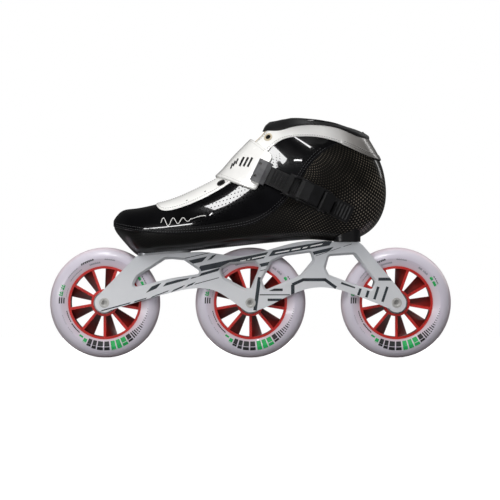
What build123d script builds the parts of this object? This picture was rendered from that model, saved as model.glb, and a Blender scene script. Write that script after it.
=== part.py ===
"""Inline speed skate for the left foot: low carbon boot, aluminium frame, three 110 mm wheels.

Millimetres. The toe points to -X, the outer side of the foot to -Y, up is +Z.
The origin lies on the floor below the middle axle.
"""
import os
from collections import namedtuple
from math import cos, hypot, pi, radians, sin

from build123d import *

# ---------------------------------------------------------------- driving dimensions
WHEEL_RADIUS = 55.0
WHEEL_HALF_WIDTH = 12.0
AXLE_PITCH = 145.25
AXLE_HEIGHT = WHEEL_RADIUS
WHEELS = {"front": -AXLE_PITCH, "middle": 0.0, "rear": AXLE_PITCH}

TYRE_INNER_RADIUS = 36.5
TYRE_SHOULDER_RADIUS = 44.0
TREAD_HALF_WIDTH = 1.3
ANCHOR_RADIUS = 39.5
ANCHOR_HALF_WIDTH = 4.0
HUB_RIM_INNER = 34.0
HUB_RIM_HALF_WIDTH = 9.8
HUB_BARREL_RADIUS = 13.5
HUB_BARREL_HALF_WIDTH = 11.9
HUB_SHOULDER_RADIUS = 9.8
SPOKES = 9
SPOKE_THICKNESS = 2.6
SPOKE_TWIST = 18.0
SPOKE_HALF_WIDTH = 9.0

# 608 bearing
BEARING_BORE_RADIUS = 4.0
BEARING_OUTER_RADIUS = 11.0
BEARING_WIDTH = 7.0
BEARING_INNER_FACE = 5.0
BALL_RADIUS = 1.93
BALL_PITCH_RADIUS = 7.5
BALLS = 7
RACE_GROOVE_RADIUS = 2.05
INNER_SHOULDER_RADIUS = 6.05
OUTER_SHOULDER_RADIUS = 9.1
SHIELD_SEAT_RADIUS = 9.4
SHIELD_INNER_RADIUS = 6.25
SHIELD_THICKNESS = 0.4
SHIELD_SETBACK = 0.3
CAGE_INNER_RADIUS = 6.95
CAGE_OUTER_RADIUS = 8.05
CAGE_HALF_WIDTH = 2.6
POCKET_RADIUS = 2.0

# axle
AXLE_RADIUS = 3.98
AXLE_HEAD_RADIUS = 5.0
AXLE_HEAD_SEAT_RADIUS = 5.1
AXLE_HEAD_LENGTH = 2.5
AXLE_THREAD_RADIUS = 3.5
HEX_HALF_FLATS = 2.0
HEX_LEAD_RADIUS = 3.3

# frame
PLATE_INNER = 13.2
PLATE_OUTER = 17.0
BOSS_RADIUS = 9.5
BOSS_SPACER_RADIUS = 6.0
BOSS_INNER = 12.02
BRIDGE_THICKNESS = 6.0
BOLT_FRONT_X = -100.5
BOLT_REAR_X = 94.5
BOLT_SLOT_RADIUS = 3.3
SIDE_SHIFT = 3.7
BOLT_RADIUS = 3.0
BOLT_HEAD_RADIUS = 5.0
BOLT_HEAD_LENGTH = 3.0
WASHER_RADIUS = 7.5
WASHER_THICKNESS = 1.2
FRONT_BOLT_REACH = 7.4
REAR_BOLT_REACH = 10.0
PLATFORM_GAP = 0.05
REAR_PLATFORM_Z = 115.5

# boot shell layers, measured inward from the outer surface
SHELL_LAYER = 2.2
LINER_LAYER = 5.0
EYELET_PROUD = -0.3
STRAP_INSIDE = -0.6
STRAP_OUTSIDE = -3.2

# ratchet buckle: the toothed ladder lies on an arc round the ankle
LADDER_SLOPE = radians(25.8)
LADDER_ARC = 300.0
LADDER_HALF_WIDTH = 9.0
LADDER_THICKNESS = 1.8
TOOTH_PITCH = 3.3
TOOTH_HEIGHT = 0.9
CHEEK_INNER = 9.1
CHEEK_OUTER = 10.9
BASE_BOTTOM = -1.7
BASE_TOP = -0.1
LEVER_AXLE_AT = (-8.0, 8.2)
RELEASE_AXLE_AT = (15.0, 7.0)
BUCKLE_AXLE_RADIUS = 1.5

FAR = 90.0

os.makedirs("parts", exist_ok=True)


# ---------------------------------------------------------------- small helpers
def save(name, shape):
    """Write one named piece."""
    export_step(shape, f"parts/{name}.step")


def side(x, z):
    """A point of the side view."""
    return Vector(x, 0, z)


def smooth(*points):
    """A smooth side-view curve."""
    return Spline(*[side(x, z) for x, z in points])


def straight(*points):
    """Straight side-view lines through the points."""
    return [Line(side(*a), side(*b)) for a, b in zip(points, points[1:])]


def prism(edges, y_from, y_to):
    """Side-view outline pulled across the skate."""
    face = Face(Wire(edges)).moved(Location((0, y_from, 0)))
    return Solid.extrude(face, Vector(0, y_to - y_from, 0))


def region(curve, *corners):
    """Everything across the skate between a smooth curve and the corners."""
    loop = [curve[-1], *corners, curve[0]]
    return prism([smooth(*curve), *straight(*loop)], -FAR, FAR)


def rod(radius, start, end, x=0.0, z=0.0):
    """A round bar across the skate."""
    plane = Plane(origin=(x, start, z), z_dir=(0, 1, 0))
    return Solid.make_cylinder(radius, end - start, plane)


def tube(outer, inner, start, end, x=0.0, z=0.0):
    """A round sleeve across the skate."""
    return rod(outer, start, end, x, z) - rod(inner, start - 1, end + 1, x, z)


def post(radius, bottom, top, x, y=0.0):
    """An upright round bar."""
    return Solid.make_cylinder(radius, top - bottom, Plane((x, y, bottom)))


def meet(one, other):
    """The solid both shapes share."""
    return Part() + (one & other).solids()


def cut(shape, *tools):
    """The shape with the tools taken out, as solids."""
    for tool in tools:
        shape = Part() + (shape - tool).solids()
    return shape


def largest(shape):
    """The biggest solid of a shape."""
    return shape.solids().sort_by(SortBy.VOLUME)[-1]


def together(*shapes):
    """Separate solids kept as one piece."""
    solids = []
    for shape in shapes:
        solids.extend(shape.solids())
    return Compound(children=solids)


# ---------------------------------------------------------------- wheels
def make_tyre():
    crown = TYRE_SHOULDER_RADIUS
    rise = WHEEL_RADIUS - crown
    reach = WHEEL_HALF_WIDTH - TREAD_HALF_WIDTH
    mid_r = crown + rise * sin(pi / 4)
    mid_y = TREAD_HALF_WIDTH + reach * cos(pi / 4)
    edges = [
        Line((WHEEL_RADIUS, TREAD_HALF_WIDTH), (WHEEL_RADIUS, -TREAD_HALF_WIDTH)),
        Line((ANCHOR_RADIUS, ANCHOR_HALF_WIDTH), (ANCHOR_RADIUS, -ANCHOR_HALF_WIDTH)),
    ]
    for way in (1, -1):
        shoulder = (crown, way * WHEEL_HALF_WIDTH)
        bead = (TYRE_INNER_RADIUS, way * HUB_RIM_HALF_WIDTH)
        groove = (TYRE_INNER_RADIUS, way * ANCHOR_HALF_WIDTH)
        tread = (WHEEL_RADIUS, way * TREAD_HALF_WIDTH)
        edges.append(Line((ANCHOR_RADIUS, way * ANCHOR_HALF_WIDTH), groove))
        edges.append(Line(groove, bead))
        edges.append(Line(bead, shoulder))
        edges.append(ThreePointArc(shoulder, (mid_r, way * mid_y), tread))
    return revolve(Face(Wire(edges)), Axis.Y)


def make_spoke(angle):
    """A slanted blade: its inner-side edge runs ahead of its outer-side edge."""
    wires = []
    for y, turn in ((-SPOKE_HALF_WIDTH, 0.0), (SPOKE_HALF_WIDTH, SPOKE_TWIST)):
        a = radians(angle + turn)
        corners = []
        for r, w in (
            (HUB_BARREL_RADIUS - 0.6, -1),
            (HUB_RIM_INNER + 0.6, -1),
            (HUB_RIM_INNER + 0.6, 1),
            (HUB_BARREL_RADIUS - 0.6, 1),
        ):
            across = w * SPOKE_THICKNESS / 2
            corners.append(Vector(r * cos(a) - across * sin(a), y, r * sin(a) + across * cos(a)))
        wires.append(Wire.make_polygon(corners, close=True))
    return Solid.make_loft(wires, ruled=True)


def make_hub():
    hub = tube(TYRE_INNER_RADIUS, HUB_RIM_INNER, -HUB_RIM_HALF_WIDTH, HUB_RIM_HALF_WIDTH)
    hub += tube(ANCHOR_RADIUS, HUB_RIM_INNER + 1, -ANCHOR_HALF_WIDTH, ANCHOR_HALF_WIDTH)
    hub += tube(
        HUB_BARREL_RADIUS, BEARING_OUTER_RADIUS, -HUB_BARREL_HALF_WIDTH, HUB_BARREL_HALF_WIDTH
    )
    hub += tube(
        HUB_BARREL_RADIUS - 1, HUB_SHOULDER_RADIUS, -BEARING_INNER_FACE, BEARING_INNER_FACE
    )
    for k in range(SPOKES):
        hub += make_spoke(270 + k * 360 / SPOKES)
    return hub


def on_both_sides(shape):
    """The same bearing piece at both ends of the hub."""
    return together(shape, mirror(shape, Plane.XZ))


BEARING_MID = BEARING_INNER_FACE + BEARING_WIDTH / 2
BEARING_END = BEARING_INNER_FACE + BEARING_WIDTH


def race_groove():
    return Solid.make_torus(
        BALL_PITCH_RADIUS, RACE_GROOVE_RADIUS, Plane((0, BEARING_MID, 0), z_dir=(0, 1, 0))
    )


def make_outer_rings():
    ring = tube(BEARING_OUTER_RADIUS, OUTER_SHOULDER_RADIUS, BEARING_INNER_FACE, BEARING_END)
    seat = SHIELD_SETBACK + SHIELD_THICKNESS
    ring -= rod(SHIELD_SEAT_RADIUS, BEARING_END - seat, BEARING_END + 1)
    ring -= rod(SHIELD_SEAT_RADIUS, BEARING_INNER_FACE - 1, BEARING_INNER_FACE + seat)
    return on_both_sides(ring - race_groove())


def make_inner_rings():
    ring = tube(INNER_SHOULDER_RADIUS, BEARING_BORE_RADIUS, BEARING_INNER_FACE, BEARING_END)
    return on_both_sides(ring - race_groove())


def ball_at(k):
    turn = 2 * pi * k / BALLS
    x = BALL_PITCH_RADIUS * cos(turn)
    z = BALL_PITCH_RADIUS * sin(turn)
    return Vector(x, BEARING_MID, z)


def make_balls():
    balls = [Solid.make_sphere(BALL_RADIUS, Plane(ball_at(k))) for k in range(BALLS)]
    return together(*balls, *[mirror(ball, Plane.XZ) for ball in balls])


def make_cages():
    cage = tube(
        CAGE_OUTER_RADIUS,
        CAGE_INNER_RADIUS,
        BEARING_MID - CAGE_HALF_WIDTH,
        BEARING_MID + CAGE_HALF_WIDTH,
    )
    for k in range(BALLS):
        centre = ball_at(k)
        radial = Vector(centre.X, 0, centre.Z).normalized()
        cage -= Solid.make_cylinder(POCKET_RADIUS, 6, Plane(centre - radial * 3, z_dir=radial))
    return on_both_sides(cage)


def make_shields():
    outer_end = BEARING_END - SHIELD_SETBACK
    inner_end = BEARING_INNER_FACE + SHIELD_SETBACK
    one = tube(SHIELD_SEAT_RADIUS, SHIELD_INNER_RADIUS, outer_end - SHIELD_THICKNESS, outer_end)
    two = tube(SHIELD_SEAT_RADIUS, SHIELD_INNER_RADIUS, inner_end, inner_end + SHIELD_THICKNESS)
    return together(one, two, mirror(one, Plane.XZ), mirror(two, Plane.XZ))


def make_axle():
    """Head flush with the outer plate, thread ending in the inner plate."""
    head_end = -PLATE_OUTER - 0.3
    head_base = head_end + AXLE_HEAD_LENGTH
    axle = rod(AXLE_HEAD_RADIUS, head_end, head_base)
    axle += rod(AXLE_RADIUS, head_base, BOSS_INNER)
    axle += rod(AXLE_THREAD_RADIUS, BOSS_INNER, PLATE_OUTER - 0.4)
    hexagon = RegularPolygon(HEX_HALF_FLATS, 6, major_radius=False)
    socket = extrude(Plane((0, head_end - 0.1, 0), z_dir=(0, 1, 0)) * hexagon, 4.6)
    lead_in = Solid.make_cone(
        HEX_LEAD_RADIUS, HEX_HALF_FLATS, 1.0, Plane((0, head_end, 0), z_dir=(0, 1, 0))
    )
    return axle - socket - lead_in


WHEEL_PIECES = {
    "tyre": make_tyre(),
    "hub": make_hub(),
    "bearing_outer_rings": make_outer_rings(),
    "bearing_inner_rings": make_inner_rings(),
    "bearing_balls": make_balls(),
    "bearing_cages": make_cages(),
    "bearing_shields": make_shields(),
    "axle_spacer": tube(INNER_SHOULDER_RADIUS, BEARING_BORE_RADIUS, -BEARING_INNER_FACE, BEARING_INNER_FACE),
    "axle": make_axle(),
}
for place, wheel_x in WHEELS.items():
    for piece, shape in WHEEL_PIECES.items():
        save(f"{place}_{piece}", shape.moved(Location((wheel_x, 0, AXLE_HEIGHT))))


# ---------------------------------------------------------------- frame
PLATFORM_FRONT = (-112.0, 101.6)
PLATFORM_BACK = (-52.0, 105.8)


def platform_z(x):
    """Height of the sloping front platform."""
    (x0, z0), (x1, z1) = PLATFORM_FRONT, PLATFORM_BACK
    return z0 + (x - x0) * (z1 - z0) / (x1 - x0)


def frame_outline():
    """One side plate seen from the side, without the round axle bosses."""
    pitch = AXLE_PITCH
    top = [
        *straight((-pitch - 6.6, AXLE_HEIGHT + 6.8), (-114.5, 100.6), PLATFORM_FRONT, PLATFORM_BACK),
        smooth(
            PLATFORM_BACK,
            (-32, 103.6),
            (-13, 101.5),
            (7, 104.6),
            (30, 111.2),
            (48, 115.5),
            (72, 116.7),
        ),
        *straight(
            (72, 116.7),
            (80, 116.3),
            (82.5, REAR_PLATFORM_Z),
            (107.5, REAR_PLATFORM_Z),
            (111.5, 112.2),
            (116, 107.2),
            (144.5, 72.5),
        ),
        smooth((144.5, 72.5), (150.5, 64.5), (pitch + 9.0, AXLE_HEIGHT + 3)),
    ]
    bottom = [
        *straight((pitch + 9.0, AXLE_HEIGHT + 3), (pitch + 2, AXLE_HEIGHT - 9.25)),
        smooth(
            (pitch + 2, AXLE_HEIGHT - 9.25),
            (127.5, 53.5),
            (107.5, 61.5),
            (88, 68),
            (69.5, 70.4),
            (51.5, 67.5),
            (32.5, 59.2),
            (4, AXLE_HEIGHT - 8.6),
        ),
        *straight((4, AXLE_HEIGHT - 8.6), (-4, AXLE_HEIGHT - 8.6)),
        smooth(
            (-4, AXLE_HEIGHT - 8.6),
            (-20.5, 58.5),
            (-36, 67.3),
            (-52, 69.5),
            (-75, 66.1),
            (-105, 58.1),
            (-135, 49),
            (-pitch, AXLE_HEIGHT - 9.4),
        ),
        *straight((-pitch, AXLE_HEIGHT - 9.4), (-pitch - 6.6, AXLE_HEIGHT + 6.8)),
    ]
    return [*top, *bottom]


WINDOWS = [
    [(-117.5, 70), (-112, 81), (-84, 99), (-66, 97.3), (-49, 85.5), (-53, 83.4), (-80, 79)],
    [(-29.5, 88.5), (-20, 93.3), (4.5, 95.2), (8.5, 90.5), (0, 69), (-6, 69.8), (-26.5, 80.5)],
    [(21.5, 96), (34.5, 101.5), (60, 105), (62, 97), (50, 82.5), (15, 68), (11.5, 77.5)],
    [(78, 101.3), (103, 103), (123.5, 76), (121, 68.3), (104, 73), (78, 83), (74.8, 89.5)],
]
WINDOW_CORNER = 2.4
WINDOW_BEVEL = 2.2


def window_face(corners):
    wire = Wire.make_polygon([side(x, z) for x, z in corners], close=True)
    wire = wire.fillet_2d(WINDOW_CORNER, wire.vertices())
    return Face(wire)


def make_plate():
    """The outer side plate, with wheel bosses and bevelled windows."""
    plate = prism(frame_outline(), -PLATE_OUTER, -PLATE_INNER)
    for x in WHEELS.values():
        plate += rod(BOSS_RADIUS, -PLATE_OUTER, -PLATE_INNER, x, AXLE_HEIGHT)
        plate += rod(BOSS_SPACER_RADIUS, -PLATE_INNER - 1, -BOSS_INNER, x, AXLE_HEIGHT)
    for corners in WINDOWS:
        face = window_face(corners).moved(Location((0, -PLATE_OUTER - 1, 0)))
        plate -= Solid.extrude(face, Vector(0, PLATE_OUTER, 0))
    return plate


def bevel_windows(plate):
    """Slope the window edges of the outer face."""
    outer = plate.faces().sort_by(Axis.Y)[0]
    edges = []
    for wire in outer.inner_wires():
        if wire.bounding_box().size.X > 3 * BOSS_RADIUS:
            edges.extend(wire.edges())
    return chamfer(edges, WINDOW_BEVEL)


def make_frame():
    plate = bevel_windows(make_plate())
    frame = plate + mirror(plate, Plane.XZ)
    front = [
        *straight(
            (-106, platform_z(-106)),
            (PLATFORM_BACK[0], PLATFORM_BACK[1]),
            (PLATFORM_BACK[0], PLATFORM_BACK[1] - BRIDGE_THICKNESS),
            (-88, PLATFORM_BACK[1] - BRIDGE_THICKNESS - 2),
            (-91, FRONT_SEAT_Z),
            (-106, FRONT_SEAT_Z),
            (-106, platform_z(-106)),
        )
    ]
    rear_low = REAR_PLATFORM_Z - BRIDGE_THICKNESS
    rear = [
        *straight(
            (60, 114.5),
            (70, REAR_PLATFORM_Z),
            (107, REAR_PLATFORM_Z),
            (107, rear_low),
            (66, rear_low),
            (60, 110.5),
            (60, 114.5),
        )
    ]
    inside = PLATE_INNER + 1
    frame += prism(front, -inside, inside)
    frame += prism(rear, -inside, inside)
    for x, z in ((-72.0, 73.0), (71.0, 76.0)):
        web = straight((x - 7, z), (x + 7, z), (x + 7, z + 4), (x - 7, z + 4), (x - 7, z))
        frame += prism(web, -inside, inside)
    for x in (BOLT_FRONT_X, BOLT_REAR_X):
        slot = extrude(Plane((x, 0, 80)) * SlotCenterToCenter(2 * SIDE_SHIFT, 2 * BOLT_SLOT_RADIUS, 90), 50)
        frame -= slot
    for x in WHEELS.values():
        frame -= rod(BEARING_BORE_RADIUS, -PLATE_OUTER - 1, BOSS_INNER, x, AXLE_HEIGHT)
        frame -= rod(AXLE_THREAD_RADIUS, BOSS_INNER - 1, PLATE_OUTER + 1, x, AXLE_HEIGHT)
        frame -= rod(
            AXLE_HEAD_SEAT_RADIUS,
            -PLATE_OUTER - 1,
            -PLATE_OUTER - 0.3 + AXLE_HEAD_LENGTH,
            x,
            AXLE_HEIGHT,
        )
    return frame


FRONT_SEAT_Z = 98.6
REAR_SEAT_Z = REAR_PLATFORM_Z - BRIDGE_THICKNESS
frame = make_frame()
save("frame", frame)

# ---------------------------------------------------------------- boot body
Station = namedtuple("Station", "low high centre half widest sole crown")
# Each station is a leaning cut through the boot: where it meets the sole line and the
# instep line, the middle and the half width of the cut, how far up it is widest, and
# how square its lower and upper halves are (2 is round).
STATIONS = [
    Station((-136.9, 130.0), (-136.9, 137.0), 10.0, 7.0, 0.50, 2.2, 2.2),
    Station((-134.5, 125.0), (-134.5, 140.8), 10.5, 16.5, 0.50, 2.4, 2.2),
    Station((-130.5, 119.8), (-130.5, 145.0), 10.0, 23.0, 0.50, 2.6, 2.3),
    Station((-123.5, 111.8), (-124.0, 147.8), 8.0, 30.5, 0.52, 2.6, 2.4),
    Station((-113.5, 102.4), (-115.0, 148.8), 5.8, 36.3, 0.54, 2.6, 2.4),
    Station((-95.0, 102.6), (-97.0, 152.3), 3.5, 42.0, 0.50, 2.8, 2.4),
    Station((-70.0, 105.2), (-74.0, 159.0), 1.5, 46.0, 0.46, 2.8, 2.3),
    Station((-45.0, 107.9), (-51.0, 169.5), -0.5, 47.5, 0.42, 2.8, 2.1),
    Station((-18.0, 110.8), (-30.0, 181.5), -2.0, 45.5, 0.40, 2.7, 1.95),
    Station((10.0, 113.8), (-11.5, 198.5), -2.2, 41.8, 0.40, 2.6, 1.9),
    Station((38.0, 116.8), (2.0, 215.0), -1.7, 38.8, 0.40, 2.5, 1.9),
    Station((66.0, 118.8), (9.5, 223.5), -1.0, 37.0, 0.42, 2.4, 1.9),
    Station((90.0, 116.0), (13.0, 228.5), -0.5, 36.0, 0.44, 2.3, 1.9),
    Station((111.5, 121.5), (15.0, 231.0), 0.0, 35.3, 0.46, 2.2, 2.0),
    Station((126.0, 133.5), (16.0, 232.7), 0.0, 34.8, 0.47, 2.1, 2.0),
    Station((134.5, 153.0), (16.6, 234.0), 0.0, 34.5, 0.48, 2.1, 2.0),
    Station((135.0, 174.0), (17.1, 235.3), 0.0, 34.8, 0.48, 2.1, 2.0),
    Station((130.5, 193.5), (17.6, 236.5), 0.0, 35.3, 0.48, 2.1, 2.0),
    Station((121.5, 211.0), (18.0, 237.7), 0.0, 36.0, 0.48, 2.1, 2.0),
    Station((112.5, 226.0), (18.4, 239.0), 0.0, 36.8, 0.48, 2.1, 2.0),
    Station((106.0, 237.5), (18.8, 242.5), 0.0, 37.3, 0.48, 2.1, 2.0),
]
SECTION_POINTS = 16


def section_points(station, inset):
    """Points round one leaning cut, from the sole line round both sides."""
    (ax, az), (bx, bz) = station.low, station.high
    length = hypot(bx - ax, bz - az)
    ux, uz = (bx - ax) / length, (bz - az) / length
    ax += ux * inset
    az += uz * inset
    length -= 2 * inset
    half = station.half - inset
    points = []
    for k in range(SECTION_POINTS):
        turn = 2 * pi * k / SECTION_POINTS
        down = cos(turn)
        power = 2 / (station.sole if down > 0 else station.crown)
        out = abs(sin(turn)) ** power
        if k in (0, SECTION_POINTS // 2):
            out = 0.0
        lift = abs(down) ** power
        if down > 0:
            along = station.widest * (1 - lift)
        else:
            along = station.widest + (1 - station.widest) * lift
        y = station.centre + (-1 if turn < pi else 1) * half * out
        points.append(Vector(ax + ux * length * along, y, az + uz * length * along))
    return points


def boot_body(inset, first):
    """The boot's full volume, drawn in by the inset."""
    wires = []
    half = SECTION_POINTS // 2
    for station in STATIONS[first:]:
        points = section_points(station, inset)
        near = Spline(*points[: half + 1], tangents=[(0, -1, 0), (0, 1, 0)])
        far = Spline(*points[half:], points[0], tangents=[(0, 1, 0), (0, -1, 0)])
        wires.append(Wire([near, far]))
    return Solid.make_loft(wires, ruled=True)


outer_body = boot_body(0.0, 0)
middle_body = boot_body(SHELL_LAYER, 1)
inner_body = boot_body(LINER_LAYER, 2)

# upper edge of the carbon shell, from the toe up the arch to the collar
CARBON_SEAM = [
    (-142, 131.5),
    (-120.5, 126.7),
    (-98, 124),
    (-75.5, 123),
    (-45.5, 124.5),
    (-15.5, 128.5),
    (4.5, 133.5),
    (19.5, 142),
    (42.5, 165.5),
    (56.5, 188),
    (72.5, 204.5),
    (90, 213),
]
# lower edge of the eyestay and collar band
BAND_LOWER = [
    (-98, 153),
    (-91, 147.2),
    (-75.5, 147.2),
    (-55.5, 154),
    (-25.5, 170),
    (-0.5, 188.5),
    (17.5, 205.5),
    (30, 215.8),
    (49.5, 219.5),
    (69.5, 218.2),
    (86.5, 213.5),
    (101.5, 207),
    (117.5, 200),
    (142, 195),
]
BAND_UPPER = [
    (-4, 229),
    (12, 226.8),
    (30.5, 226.5),
    (39.5, 230),
    (54.5, 231.8),
    (69.5, 231.3),
    (89.5, 227),
    (107.5, 219.5),
    (118.5, 217.8),
    (142, 217),
]
COLLAR_TOP = [
    (-4, 233),
    (17.5, 236.5),
    (30, 238.3),
    (54.5, 239.2),
    (84.5, 236.3),
    (104, 230.8),
    (116, 225),
    (130, 214),
]
FOOTBED_TOP = [
    (-145, 116),
    (-120, 113.5),
    (-90, 112.6),
    (-45, 117),
    (0, 122),
    (40, 126),
    (80, 128.5),
    (145, 134),
]

carbon_region = region(CARBON_SEAM, (142, 213), (142, 90), (-142, 90))
band_region = region(BAND_LOWER, (142, 250), (-98, 250))
above_band = region(BAND_UPPER, (142, 255), (-4, 255))
above_collar = region(COLLAR_TOP, (130, 255), (-4, 255))
footbed_region = region(FOOTBED_TOP, (145, 90), (-145, 90))


def throat(front_x, front_half, back_half, end_x=45.0):
    """The lacing slot seen from above, widening towards the ankle."""
    outline = Polygon(
        (front_x, -front_half),
        (end_x, -back_half),
        (end_x, back_half),
        (front_x, front_half),
        align=None,
    )
    outline += Pos(front_x, 0) * Circle(front_half)
    return extrude(Plane((0, 0, 136)) * outline, 120)


slot = throat(-84.0, 8.0, 13.0)
tongue_room = throat(-86.0, 18.0, 25.0)


def footprint(x, length, bottom, top, extra=0.0):
    """Upright block outline of a mounting point."""
    outline = RectangleRounded(length + extra, BLOCK_WIDTH + extra, 8)
    return extrude(Plane((x, 0, bottom)) * outline, top - bottom)


BLOCK_WIDTH = 40.0
BLOCK_ROOM = 0.1
FRONT_BLOCK = (-86.0, 52.0, 90.0, 130.0)
REAR_BLOCK = (96.5, 26.0, 100.0, 130.0)
front_footprint = footprint(*FRONT_BLOCK)
rear_footprint = footprint(*REAR_BLOCK)
front_room = footprint(*FRONT_BLOCK, BLOCK_ROOM)
rear_room = footprint(*REAR_BLOCK, BLOCK_ROOM)

shell_layer = cut(outer_body, middle_body)
liner_layer = cut(middle_body, inner_body)

below_front = prism(
    straight(
        (-125, platform_z(-125)),
        (-45, platform_z(-45)),
        (-45, 80),
        (-125, 80),
        (-125, platform_z(-125)),
    ),
    -FAR,
    FAR,
).moved(Location((0, 0, PLATFORM_GAP)))
below_rear = prism(
    straight((60, REAR_PLATFORM_Z), (130, REAR_PLATFORM_Z), (130, 90), (60, 90), (60, REAR_PLATFORM_Z)),
    -FAR,
    FAR,
).moved(Location((0, 0, PLATFORM_GAP)))

EYELETS = [(-28.5, 175.5), (-12.5, 189.5), (2.5, 204.5), (18.0, 219.5)]
PUNCHED_HOLES = [(-62.5, 155.5), (-44.5, 164.5)]
EYELET_RADIUS = 4.5
EYELET_BORE = 2.6
PUNCHED_RADIUS = 1.5
SMALLEST_RING = 30.0

carbon_shell = cut(meet(shell_layer, carbon_region), band_region, front_room, rear_room)
carbon_shell = cut(carbon_shell, below_front, below_rear)
upper = cut(shell_layer, carbon_region, band_region)
collar_band = cut(meet(shell_layer, band_region), above_band, slot)
for x, z in EYELETS:
    collar_band = cut(collar_band, rod(EYELET_RADIUS, -FAR, FAR, x, z))
for x, z in PUNCHED_HOLES:
    collar_band = cut(collar_band, rod(PUNCHED_RADIUS, -FAR, FAR, x, z))

liner = cut(outer_body, inner_body, cut(shell_layer, above_band), above_collar)
liner = largest(cut(liner, tongue_room, front_room, rear_room))
tongue = largest(cut(meet(liner_layer, tongue_room), above_collar))
insole = largest(cut(meet(inner_body, footbed_region), shell_layer))
front_block = largest(cut(front_footprint, below_front, inner_body))
rear_block = largest(cut(rear_footprint, below_rear, inner_body))

eyelet_body = cut(boot_body(EYELET_PROUD, 1), middle_body, slot)
eyelet_rings = []
for x, z in EYELETS:
    rings = meet(eyelet_body, tube(EYELET_RADIUS, EYELET_BORE, -FAR, FAR, x, z))
    eyelet_rings.extend(ring for ring in rings.solids() if ring.volume > SMALLEST_RING)
eyelets = together(*eyelet_rings)


# ---------------------------------------------------------------- mounting hardware
def make_bolt(x, seat, end):
    """Low-head socket screw pushed up through washer and frame slot."""
    head_top = seat - PLATFORM_GAP - WASHER_THICKNESS
    bolt = post(BOLT_HEAD_RADIUS, head_top - BOLT_HEAD_LENGTH, head_top, x)
    bolt += post(BOLT_RADIUS, head_top, end, x)
    hexagon = RegularPolygon(HEX_HALF_FLATS, 6, major_radius=False)
    return bolt - extrude(Plane((x, 0, head_top - BOLT_HEAD_LENGTH - 0.1)) * hexagon, 1.9)


def make_washer(x, seat):
    top = seat - PLATFORM_GAP
    washer = post(WASHER_RADIUS, top - WASHER_THICKNESS, top, x)
    return washer - post(BOLT_RADIUS, top - 5, top + 1, x)


front_end = FRONT_SEAT_Z + FRONT_BOLT_REACH
rear_end = REAR_SEAT_Z + REAR_BOLT_REACH
front_block = cut(front_block, post(BOLT_RADIUS, 90, front_end, BOLT_FRONT_X))
rear_block = cut(rear_block, post(BOLT_RADIUS, 90, rear_end, BOLT_REAR_X))
save("front_mount_block", front_block)
save("rear_mount_block", rear_block)
save("front_mounting_bolt", make_bolt(BOLT_FRONT_X, FRONT_SEAT_Z, front_end))
save("rear_mounting_bolt", make_bolt(BOLT_REAR_X, REAR_SEAT_Z, rear_end))
save("front_washer", make_washer(BOLT_FRONT_X, FRONT_SEAT_Z))
save("rear_washer", make_washer(BOLT_REAR_X, REAR_SEAT_Z))


# ---------------------------------------------------------------- buckle frame of reference
TURN_U = 0.063
TURN_V = 0.09
ALONG = Vector(cos(LADDER_SLOPE), TURN_U, -sin(LADDER_SLOPE)).normalized()
OUTWARD = Vector(
    TURN_U * cos(LADDER_SLOPE) + TURN_V * sin(LADDER_SLOPE),
    -1,
    -TURN_U * sin(LADDER_SLOPE) + TURN_V * cos(LADDER_SLOPE),
)
OUTWARD = (OUTWARD - ALONG * OUTWARD.dot(ALONG)).normalized()
ACROSS = OUTWARD.cross(ALONG)
LADDER_MIDDLE = Vector(57, -40.4, 162.3)
ARC_CENTRE = LADDER_MIDDLE - OUTWARD * LADDER_ARC


def at(along, height, across=0.0):
    """A point by its way along the ladder arc, height above its underside, and side."""
    angle = along / LADDER_ARC
    radial = OUTWARD * cos(angle) + ALONG * sin(angle)
    return ARC_CENTRE + radial * (LADDER_ARC + height) + ACROSS * across


def outward_at(along):
    angle = along / LADDER_ARC
    return OUTWARD * cos(angle) + ALONG * sin(angle)


def arc_band(low, high, start, end, half):
    """A curved strip lying along the ladder arc."""
    mid = (start + end) / 2
    edges = [
        ThreePointArc(at(start, low), at(mid, low), at(end, low)),
        Line(at(end, low), at(end, high)),
        ThreePointArc(at(end, high), at(mid, high), at(start, high)),
        Line(at(start, high), at(start, low)),
    ]
    face = Face(Wire(edges)).moved(Location(ACROSS * -half))
    return Solid.extrude(face, ACROSS * (2 * half))


def profile(points, start, end, rounding=0.0):
    """A side profile of the buckle pulled across it."""
    wire = Wire.make_polygon([at(along, height) for along, height in points], close=True)
    if rounding:
        wire = wire.fillet_2d(rounding, wire.vertices())
    face = Face(wire).moved(Location(ACROSS * start))
    return Solid.extrude(face, ACROSS * (end - start))


def cross_pin(radius, place, half):
    """A round pin across the buckle."""
    plane = Plane(at(*place, -half), z_dir=ACROSS)
    return Solid.make_cylinder(radius, 2 * half, plane)


def stud(radius, along, across, low, high):
    """A round bar standing outward from the buckle floor."""
    plane = Plane(at(along, low, across), z_dir=outward_at(along))
    return Solid.make_cylinder(radius, high - low, plane)


# ---------------------------------------------------------------- buckle
MOUNT_SCREWS = (-15.0, 20.0)
CHEEK = [(-21, -0.6), (21, -0.6), (21, 5.5), (17, 10), (-5, 11.2), (-12, 11.2), (-17.5, 6), (-21, 4.6)]


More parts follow.
